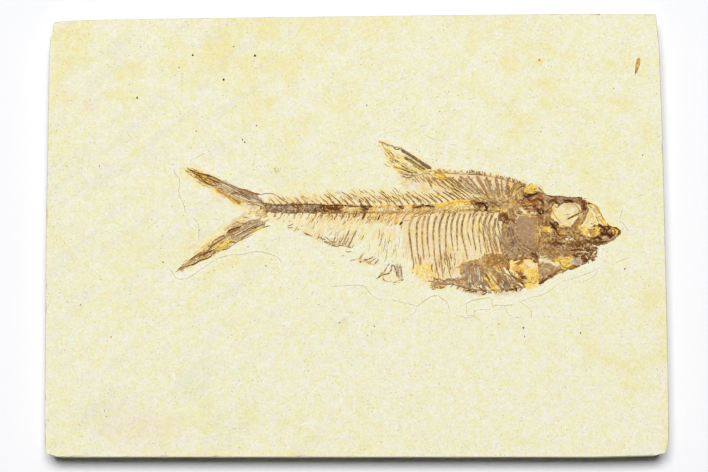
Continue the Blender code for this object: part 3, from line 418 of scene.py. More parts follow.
HEAD_STROKES = toned(2,
    ("ink", 0.6, 45.4, 10.3, 46.2, 9.6, 46.8, 10.2, 48, 10.4, 49.4, 10.8),
    ("dark", 0.34, 43.6, 11.6, 44.6, 12.5, 45.8, 12.8), ("umber", 0.3, 49.4, 12.6, 50, 11.8, 50.8, 10.8),
    ("dark", 0.4, 48.2, 11.6, 48.6, 12), (0.5, 46.2, 9.2, 47.4, 8.6, 48.8, 9.2, 50.2, 8.8, 50.8, 7.6),
    ("rust", 0.5, 46.6, 8.2, 48.2, 8.8, 49.8, 9.8),
    ("dark", 0.4, 51.4, 10.2, 53.4, 9.9, 56, 9.75, 58.6, 9.5, 61, 9.6),
    ("ink", 0.44, 49.3, 6.6, 49.2, 5.7, 49.9, 5.1, 50.6, 5.4, 50.8, 6.2),
    ("dark", 0.34, 45, 7.4, 46.4, 7.2, 48, 7.6), ("umber", 0.3, 43.4, 5.8, 44.2, 5.2, 45.2, 5.6),
    ("dark", 0.44, 53, 9.2, 54, 8.4, 54.8, 7.8), ("ink", 0.44, 56.2, 8.6, 57.6, 8.8, 58.8, 8.4),
    ("dark", 0.3, 54.6, 7.4, 55.4, 7.9, 56.2, 8.3), (0.6, 61.2, 8.8, 61.7, 7.8, 61.5, 6.6),
    ("ink", 0.26, 61.6, 6, 60.6, 5.3, 59.2, 4.8, 57.3, 3.8), ("umber", 0.2, 56.7, 5, 57.8, 5.1),
    (0.26, 62.2, 4.4, 61.6, 3.2, 60.6, 2), ("ink", 0.44, 52.4, 3, 53, 2, 53.6, 1.4, 54.4, 0.6),
    ("dark", 0.44, 53.4, 2.9, 54.2, 2.9, 54.6, 2.3, 54, 1.9), ("ink", 0.34, 52.6, 1.2, 53.4, 1.7),
    ("lilac", 0.26, 52.9, 0.6, 53.6, 0.8), ("ink", 0.3, 53.2, 0.4, 53.8, -0.6),
    ("umber", 0.3, 54.8, 1.5, 55.8, 1.2, 57, 1.3), ("dark", 0.4, 54, 0.4, 54.8, -0.6, 55.4, -1),
    ("umber", 0.26, 57, -1.1, 57.8, -0.9, 58.6, -1.1, 59.4, -1.8),
    ("dark", 0.5, 53, -3, 54.2, -2.6, 55.4, -3.2), ("umber", 0.34, 51.8, -2.2, 52.6, -3.4, 52.2, -4.2),
    (0.4, 57.4, -3.2, 59, -2.8, 60.6, -3.4), ("dark", 0.5, 60, -2.6, 61, -3.2, 61.2, -4),
    (0.4, 61.8, -1.8, 62.8, -2.4), (0.44, 57.8, -4.8, 59.6, -4.6, 61.6, -4.8),
    ("ink", 0.6, 65.6, 2.4, 66.2, 1.6, 67.2, 1.2), ("umber", 0.34, 68, 2.6, 68.4, 1.6),
    ("ink", 0.6, 66, 0.2, 66.8, -0.6, 68, -0.4, 69, -1), (0.5, 64, -1.6, 65.2, -1.4, 66.4, -1.8),
    ("dark", 0.5, 64.2, -2.6, 65.8, -2.6, 67.6, -2.4),
    ("ink", 0.34, 69.2, 1.4, 70.4, 1.2, 71, 0.4, 70.6, -0.6), ("dark", 0.34, 69.6, 1, 70, 0, 69.4, -0.6),
    ("mauve", 0.5, 66.6, -3, 68.4, -2.3, 70.2, -1.4),
    ("umber", 0.24, 64.3, 7.9, 65.3, 7, 66.1, 5.4, 66.7, 4, 67.4, 3.4),
    (0.2, 64.8, 4.8, 65.4, 3.4, 65.8, 2.8), ("dark", 0.4, 62.4, 8.2, 63.2, 8, 64, 7.8),
    (0.5, 61.4, -6.8, 62, -7.6, 62.2, -8.2), ("cream", 0.3, 62, -5.2, 62.8, -5.6),
    (0.34, 64.9, -5, 64.2, -5.5, 63.8, -6.2), (0.3, 61.9, -6.2, 62.6, -7.2),
    ("ink", 0.34, 65, -3.9, 65.4, -4.6), ("dark", 0.34, 64.6, -6.2, 65.1, -6.6), (0.4, 64, -7.2, 63.6, -7.9),
    (0.3, 62.8, -7.8, 62.6, -8.4), ("umber", 0.3, 61.6, -8, 61, -8.7),
    ("brown", 0.16, 59, 8, 60.2, 6.8, 60.2, 5.4, 59.4, 4.4),
    ("tan", 0.3, 57.4, 8.2, 59, 7.8, 60.4, 6.4, 60.8, 5),
    ("ochre", 0.26, 53, 7, 53.4, 5.4, 54.4, 3.8, 55.6, 2.6), ("tan", 0.44, 53.6, 7.4, 54.4, 7, 55.4, 7.6),
    ("straw", 0.4, 62.6, 7.6, 63.6, 5.6, 64.6, 3.6), ("gold", 0.7, 66.6, 3.4, 67.2, 2.4, 67.9, 1.8),
    (0.8, 64.6, 1.3, 64.9, 0.6), (0.9, 55.6, -7.9, 56.8, -8), (0.7, 46.9, 12.2, 48, 11.9),
    (0.7, 51, 0.9, 51.8, 0.8), ("dark", 0.6, 58.4, -6, 59, -6.4),
    ("umber", 0.2, 54.9, -7.4, 55.3, -8.6, 56.2, -9.5, 57.6, -9.4, 58.3, -8.7),
    (0.3, 60.6, -5.6, 61.4, -6.2), (0.34, 58.4, -8.8, 59.4, -9.2, 60.6, -8.8),
    (0.34, 56, -10, 54.4, -10.4, 53, -11.2), ("dark", 0.6, 49.2, -13.9, 50.4, -13.2, 51.6, -12.4),
    (0.5, 51.6, -12.2, 52.4, -11.6, 52.8, -12.2),
    ("umber", 0.22, 43.3, -0.4, 43.9, -1.9, 45.2, -3.4, 47.2, -4.6, 49.6, -5.2),
    (0.22, 42, 1.4, 42.6, -0.6, 43.4, -2.6, 44.8, -4.2, 46.8, -5.2),
    ("grey", 0.3, 41.6, 0.6, 42.2, -1.8, 43.2, -3.6), ("dark", 0.6, 47.4, -5.6, 48.4, -6.2, 49, -6.9),
    (0.44, 47.8, -7.4, 48.4, -8), ("rust", 0.34, 44.8, -7.2, 46.2, -7, 47.6, -6.8),
    (0.3, 42.6, -8.6, 43.8, -8.1, 44.6, -7.6), ("dark", 0.5, 44.2, -11.8, 45.2, -12.4),
    ("rust", 0.5, 43.6, -10.8, 44.2, -11.2), ("dark", 0.6, 39.6, 4.6, 40.6, 4.4, 40.9, 3.4),
    ("rust", 0.4, 40, 4.2, 40.4, 3.2), (0.4, 40.8, -8.4, 41, -9.4),
    ("umber", 0.3, 42, 3.8, 42.6, 3.2, 42.8, 2.4), (0.24, 41.8, 6.4, 42.6, 5.6, 42.4, 4.8),
    ("gold", 0.26, 39.4, 6.6, 40.4, 6.2, 41, 5.8), ("straw", 0.24, 49.9, 1, 49.6, 0, 49.9, -1),
)

# Plain tones of each bone: most of it, then two kinds of fleck with the share that each takes
BONE_TONES = {
    "backbone": ("brown", "umber", 0.26, "tan", 0.3),
    "rib_": ("brown", "smoke", 0.26, "tan", 0.26),
    "fin_support_": ("brown", "umber", 0.4, "ochre", 0.12),
    "nape_blade_": ("mauve", "tan", 0.36, "film", 0.26),
    "nape_plate": ("tan", "ochre", 0.26, "brown", 0.34),
    "crest_bone": ("gold", "orange", 0.24, "straw", 0.2),
    "braincase": ("brown", "rust", 0.3, "umber", 0.24),
    "skull_roof": ("brown", "mauve", 0.4, "umber", 0.16),
    "snout_ridge": ("gold", "cream", 0.34, "brown", 0.2),
    "eye_socket_bar": ("brown", "mauve", 0.3, "umber", 0.22),
    "cheek_plate": ("brown", "umber", 0.3, "tan", 0.2),
    "gill_cover": ("mauve", "brown", 0.26, "mauve", 0.1),
    "upper_jaw": ("umber", "dark", 0.4, "rust", 0.24),
    "lower_jaw": ("brown", "umber", 0.36, "ochre", 0.2),
    "shoulder_girdle": ("mauve", "brown", 0.4, "umber", 0.12),
    "shoulder_knob": ("umber", "dark", 0.36, "rust", 0.24),
    "breast_knob": ("rust", "umber", 0.36, "ochre", 0.24),
    "breast_plate": ("straw", "gold", 0.44, "cream", 0.2),
    "throat_plate": ("mauve", "brown", 0.36, "tan", 0.14),
    "pectoral_fin": ("grey", "brown", 0.34, "lilac", 0.3),
    "belly_crust": ("brown", "tan", 0.4, "mauve", 0.24),
    "belly_scutes": ("mauve", "brown", 0.34, "tan", 0.3),
    "back_scutes": ("film", "tan", 0.4, "brown", 0.18),
    "pelvic_fin": ("mauve", "grey", 0.3, "tan", 0.34),
    "anal_fin_front": ("film", "smoke", 0.34, "tan", 0.24),
    "anal_fin_rear": ("film", "smoke", 0.36, "tan", 0.26),
    "dorsal_fin": ("straw", "tan", 0.34, "cream", 0.3),
    "tail_base": ("cream", "straw", 0.34, "ochre", 0.24),
    "tail_fin_upper": ("tan", "cream", 0.36, "umber", 0.16),
    "tail_fin_lower": ("tan", "cream", 0.36, "umber", 0.16),
    "stray_scale": ("ochre", "orange", 0.3, "brown", 0.2),
}

# Bones whose colour is even
CALM_BONES = ("gill_cover", "shoulder_girdle", "pectoral_fin", "breast_plate", "crest_bone")

# The lie of the rays or fibres in some bones, in degrees from the slab's long edge
BONE_GRAIN = {
    "tail_fin_upper": -25, "tail_fin_lower": 31, "dorsal_fin": -35, "pectoral_fin": -56, "throat_plate": 42,
    "belly_crust": -62, "nape_plate": 60, "lower_jaw": 12, "upper_jaw": 20, "skull_roof": -3}

# The thin crust of bone and stain that fills the gaps between the larger bones: half-widths and routes
FILM_SHAPE = routes(1,
    (1.3, -24.6, 6.8, -12, 6.6, 0, 6.4, 14, 6.3, 26, 7, 38, 7), (0.9, 27, 8.6, 34, 8.8),
    (1.2, 42, -6.2, 45.4, -6.8, 48.4, -7.2), (0.9, 36, 6.4, 38.6, 6.2), (2.6, 37, 9.4, 41.5, 9.6),
    (2.2, 43.6, 8, 44.4, 11.6), (1, 47.4, 11.2, 47.4, 12.6), (4.2, 45, 6.4, 49, 7.2),
    (0.9, 51.6, 9, 57, 9, 61, 8.6), (1.1, 61.7, 8.2, 61.9, 6.2), (0.6, 63.4, 7.6, 65.4, 5.2, 66.9, 3),
    (1.2, 51.2, 6, 51.8, 3.6, 53.6, 1.8), (1, 56, 0.9, 60, 1.4), (0.9, 59.3, 1.6, 60.4, 3.6, 61.5, 5.6),
    (1, 61, 0.6, 64, 0.6), (2, 65, 0.2, 68.2, 0), (0.9, 69.4, 0.2, 70.6, 0.2), (5.6, 45, -0.6, 47.4, -0.8),
    (3.6, 50.6, -2.4, 55, -2.8, 60.4, -3.2), (2.4, 52, -5.6, 58, -6, 61.6, -5.4),
    (1.9, 50.6, -11.2, 53, -10, 58, -8), (1.6, 44.8, -12.4, 48, -12.2),
    (1.5, 29.6, -9.4, 34, -8.6, 40, -8.2), (0.7, 22, -13.3, 28, -13.2), (0.9, 28, -12.6, 30.4, -13.8),
    (0.8, 34.6, -13.8, 37.6, -15), (1, 30.6, -11.4, 32.6, -14.2), (0.8, 39, -13.8, 43.4, -14.2),
    (1.7, 35.4, -7.4, 39.8, -7.2), (2.4, 41.2, -4, 41.6, 0, 41.8, 4.6), (1.6, 39.6, 4.4, 40.4, 6.4),
)

# Broad tones of that crust, laid before the patches that the bones share: tone, radius and route
FILM_TONES = toned(2,
    ("brown", 60, 20, 0), ("amber", 2, 5, 6.3, 20, 6.3), (2, 20, 6.6, 31, 7.6), ("tan", 2.8, 34, 11, 42, 11),
    (1.8, 33, 9.4, 42, 9), ("umber", 1.6, 46, 9.4, 51, 9.4), ("tan", 1, 44, 5.4, 48.6, 5),
    ("mauve", 3.6, 45.4, 0, 46, -2), (1.4, 41, -2, 42, 2), ("tan", 1, 49.6, 1.8, 49.6, -3),
    ("gold", 1, 62, 0.6, 64.4, 0.8), (1.6, 44.8, -12.4, 48, -12.2),
    ("cream", 0.8, 49.2, -6.2, 51, -7.6, 54, -8.6), ("tan", 1.6, 29.6, -12.8, 34, -13.2),
    ("straw", 1.2, 22, -14.8, 28, -14.6), ("ochre", 1.5, 34.4, -7.8, 38, -8.6),
    ("mauve", 1.8, 30.6, -9.8, 32, -13.6),
)

# Splinters strewn over the bones: how many, half-width of their ground, direction and its spread in degrees,
# length from and to, width and tones, then the route of their ground
HEAD_SPLINTERS = routes(8,
    (90, 2.3, 20, 80, 0.4, 1.2, 0.3, "dark rust ochre tan ink rust", 44.6, 7.6, 51, 7.4),
    (34, 0.7, -5, 22, 0.5, 1.5, 0.24, "umber dark mauve tan brown", 51.6, 9.4, 57, 9.2, 61.4, 9),
    (20, 0.9, 100, 30, 0.4, 1.3, 0.28, "dark ink brown umber", 61.8, 8.6, 61.8, 6.2),
    (110, 2.5, -10, 60, 0.4, 1.3, 0.28, "umber dark rust ochre brown dark", 51.6, -1.8, 60, -2.2),
    (50, 1.5, 6, 30, 0.4, 1.4, 0.22, "umber brown mauve tan brown", 51.6, -5.6, 58.6, -5.8),
    (50, 1.6, 12, 60, 0.4, 1.2, 0.28, "umber dark mauve cream dark", 58, -5.4, 62.6, -6),
    (60, 1.7, 60, 60, 0.3, 1, 0.34, "dark ink umber mauve cream ink film", 61.6, -6.4, 64.2, -4.6),
    (70, 1.5, 14, 50, 0.4, 1.3, 0.34, "ink dark rust umber gold ink", 64.2, 0.2, 69.4, 0),
    (44, 0.9, 80, 50, 0.4, 1.1, 0.24, "tan umber ochre brown mauve gold", 49.6, 2.8, 49.8, -3.8),
    (34, 1.2, -35, 30, 0.5, 1.6, 0.26, "dark umber mauve tan", 42.4, -3.4, 45.4, -5.6, 50, -6.2),
    (44, 1.7, 60, 25, 0.5, 1.6, 0.24, "umber ochre tan brown", 42.8, 8.6, 44.6, 12),
    (14, 2.2, -50, 60, 0.4, 1.2, 0.26, "orange ochre cream straw", 44.6, -9.6, 47.6, -11.4),
    (28, 1.3, 42, 25, 0.5, 1.6, 0.26, "brown umber tan mauve", 50.2, -11.4, 54.4, -9.8),
    (46, 1.4, 100, 40, 0.4, 1.4, 0.26, "umber brown tan dark ochre", 39.6, 7, 41.4, 3, 41.6, -2),
    (14, 1, 60, 40, 0.3, 0.9, 0.24, "gold ochre straw umber", 62.4, 1, 64.6, 4.6),
    (14, 1.8, 10, 60, 0.3, 0.9, 0.18, "tan straw film", 54, 5.6, 58.4, 5.4),
    (60, 0.9, -54, 6, 1.2, 2.8, 0.28, "grey lilac grey mauve brown", 40.2, -1.6, 41.6, -4.6),
)
BELLY_SPLINTERS = routes(8,
    (60, 1.5, -50, 50, 0.4, 1.3, 0.26, "umber ochre rust brown tan umber", 33.4, -8.2, 36, -7.6, 40, -7.4),
    (50, 1.8, -80, 7, 1.6, 3.8, 0.32, "grey lilac mauve mauve cream", 30.4, -11.6, 33.2, -12.4),
    (26, 1.4, -62, 8, 1, 2.6, 0.34, "straw gold cream ochre", 36, -11.6, 37.6, -14.4),
    (50, 1.8, -60, 12, 0.8, 2.4, 0.28, "grey umber straw brown cream", 39.4, -11.8, 43.4, -13.2),
    (24, 0.6, -30, 40, 0.4, 1.2, 0.26, "dark umber brown", 29.6, -15.4, 34.6, -16, 43.4, -15.2),
    (70, 0.8, -30, 50, 0.4, 1.4, 0.24, "brown mauve tan cream film brown", 20.4, -13.2, 29.6, -13.2),
    (20, 0.5, 4, 14, 0.5, 1.3, 0.24, "ochre gold umber", 19.6, -14.6, 24, -14.8),
    (26, 1.4, 90, 12, 0.6, 2, 0.26, "straw gold cream ochre", 17, -9.6, 20.4, -11.4, 23, -14),
    (20, 1, 86, 8, 0.6, 1.8, 0.2, "lilac grey lilac cream", 11.4, -9.4, 11.8, -11.6),
)
BACKBONE_SPLINTERS = routes(8,
    (200, 1.15, 90, 60, 0.3, 0.9, 0.25, "dark lilac ink lilac dark cream lilac lilac", -23.4, 6.8, -9.8,
     6.6), (60, 1.1, 80, 60, 0.3, 1, 0.24, "ink dark rust umber dark tan", -10.4, 6.7, -4, 6.5),
    (60, 1, 60, 60, 0.3, 0.9, 0.24, "amber dark cream rust ochre tan", -4, 6.3, 1.6, 6.2),
    (26, 0.9, 60, 60, 0.3, 1, 0.24, "ink dark rust tan", 1.6, 6.6, 4.2, 6.9),
    (60, 0.6, 66, 40, 0.3, 0.9, 0.22, "dark rust umber ochre tan", -9.6, 5, -3, 4.9, 3.4, 4.5),
    (70, 1.1, 50, 60, 0.3, 0.9, 0.2, "ochre tan gold umber film amber", 3.8, 4.4, 12.6, 4),
    (90, 1.2, 60, 50, 0.3, 1.2, 0.24, "amber ochre cream umber gold", 3, 6.3, 22, 6.4),
    (60, 1.1, 12, 40, 0.3, 1.3, 0.24, "gold ochre straw umber", 20, 7, 32, 8),
    (34, 0.8, -28, 45, 0.4, 1.3, 0.28, "ink dark umber", 32, 8, 35.4, 7.4),
    (60, 1.5, -34, 40, 0.4, 1.4, 0.24, "mauve tan cream brown grey umber", 34.6, 9.2, 41, 8.8),
    (110, 0.7, 50, 25, 0.5, 1.4, 0.26, "amber tan straw brown film umber", 13, 5.8, 26, 6, 38, 6.1),
)
TAIL_SPLINTERS = routes(8,
    (54, 1, -27, 8, 0.8, 2.6, 0.24, "dark rust ochre dark gold straw orange", -45, 16.9, -38, 13.8),
    (30, 1.2, -30, 10, 0.8, 2.2, 0.2, "gold straw ochre brown", -44, 15.2, -39, 12.8),
    (70, 1.2, -27, 6, 0.8, 3, 0.18, "grey brown lilac cream umber", -37.4, 13, -31, 10.6, -25.4, 8),
    (26, 0.9, -36, 14, 0.6, 1.8, 0.24, "ochre gold straw orange", -38.4, 11.8, -34, 9.6, -31, 8),
    (40, 1.2, 34, 8, 0.8, 2.4, 0.24, "umber ochre straw rust cream", -47.6, -9.8, -42, -6.6, -38, -4.4),
    (40, 1.3, 34, 10, 0.6, 2.2, 0.24, "gold ochre cream umber brown", -38.4, -4.2, -32.6, -1.4),
    (60, 1.5, 30, 6, 0.8, 2.8, 0.18, "grey lilac umber cream brown", -33.4, -0.4, -29, 1.4, -25.2, 3.2),
    (24, 0.8, 24, 14, 0.5, 1.5, 0.2, "straw ochre cream brown", -35.4, 1, -31.4, 3.4, -28, 4.8),
    (34, 1.5, 10, 60, 0.4, 1.2, 0.2, "brown gold ochre tan orange", -27.4, 6.6, -24.4, 5.4, -25.6, 3.8),
)
BODY_HAIRS = routes(8,
    (30, 0.8, -44, 9, 0.6, 1.5, 0.22, "ochre gold smoke straw smoke", 8.7, 22.4, 9.2, 20.8, 10.2, 19.2),
    (84, 1.3, 142, 7, 0.8, 2.4, 0.17, "brown umber tan umber", -9, 9.7, 0, 10, 16, 10.2, 28, 11.2),
    (26, 1, 142, 12, 0.5, 1.5, 0.15, "tan film brown", -21, 9.2, -9, 9.4),
    (70, 1.2, 52, 12, 0.5, 1.5, 0.17, "brown umber tan", -20, 4.2, -6, 3.8, 4, 3.4, 12, 3.2),
    (40, 3.4, 80, 4, 1.6, 4.2, 0.11, "tan film grey", 6, -3, 9.6, -4, 12.4, -4.4),
    (26, 1.6, 62, 10, 0.8, 2, 0.16, "tan smoke film", -12, 0.6, -4, 0, 2, 0),
    (24, 0.9, 50, 20, 0.5, 1.2, 0.18, "tan ochre smoke", -9, -2.4, -1, -3),
    (60, 4.6, -82, 6, 1, 3.4, 0.16, "tan cream film straw cream cream", 19, 0.6, 28, -0.6, 36, -0.6),
    (70, 3, -76, 8, 1.2, 3.4, 0.2, "grey brown grey tan ochre", 36, 0.6, 38.8, -3.4),
    (30, 2.4, -84, 8, 0.8, 2.6, 0.2, "brown tan straw umber", 22, -7.4, 27, -8.6),
    (30, 2, -54, 9, 1, 2.8, 0.2, "cream tan cream brown film", 24.4, 13.4, 30, 12, 37, 11.6, 41.6, 11.6),
    (46, 2.2, -34, 9, 0.8, 2.6, 0.2, "ochre straw brown cream gold", 10, 20, 13, 18.6, 18, 17.4),
    (34, 1.1, -42, 9, 0.8, 2, 0.19, "brown tan ochre umber", 13, 15.6, 18, 14.6, 22.4, 14),
    (22, 0.5, 70, 50, 0.3, 0.8, 0.26, "umber brown ochre tan", 21.4, 17, 28.4, 16.4),
    (22, 0.3, 84, 8, 0.6, 1.1, 0.22, "umber dark brown", 30.8, 16.6, 35, 16),
    (26, 0.3, 74, 10, 0.6, 1.1, 0.22, "umber dark brown", 38.4, 15.3, 41.6, 14.8, 44.8, 13.4),
    (22, 1.6, -30, 14, 0.8, 2.2, 0.22, "gold straw ochre", 20.6, 14.8, 24.6, 14.6),
)

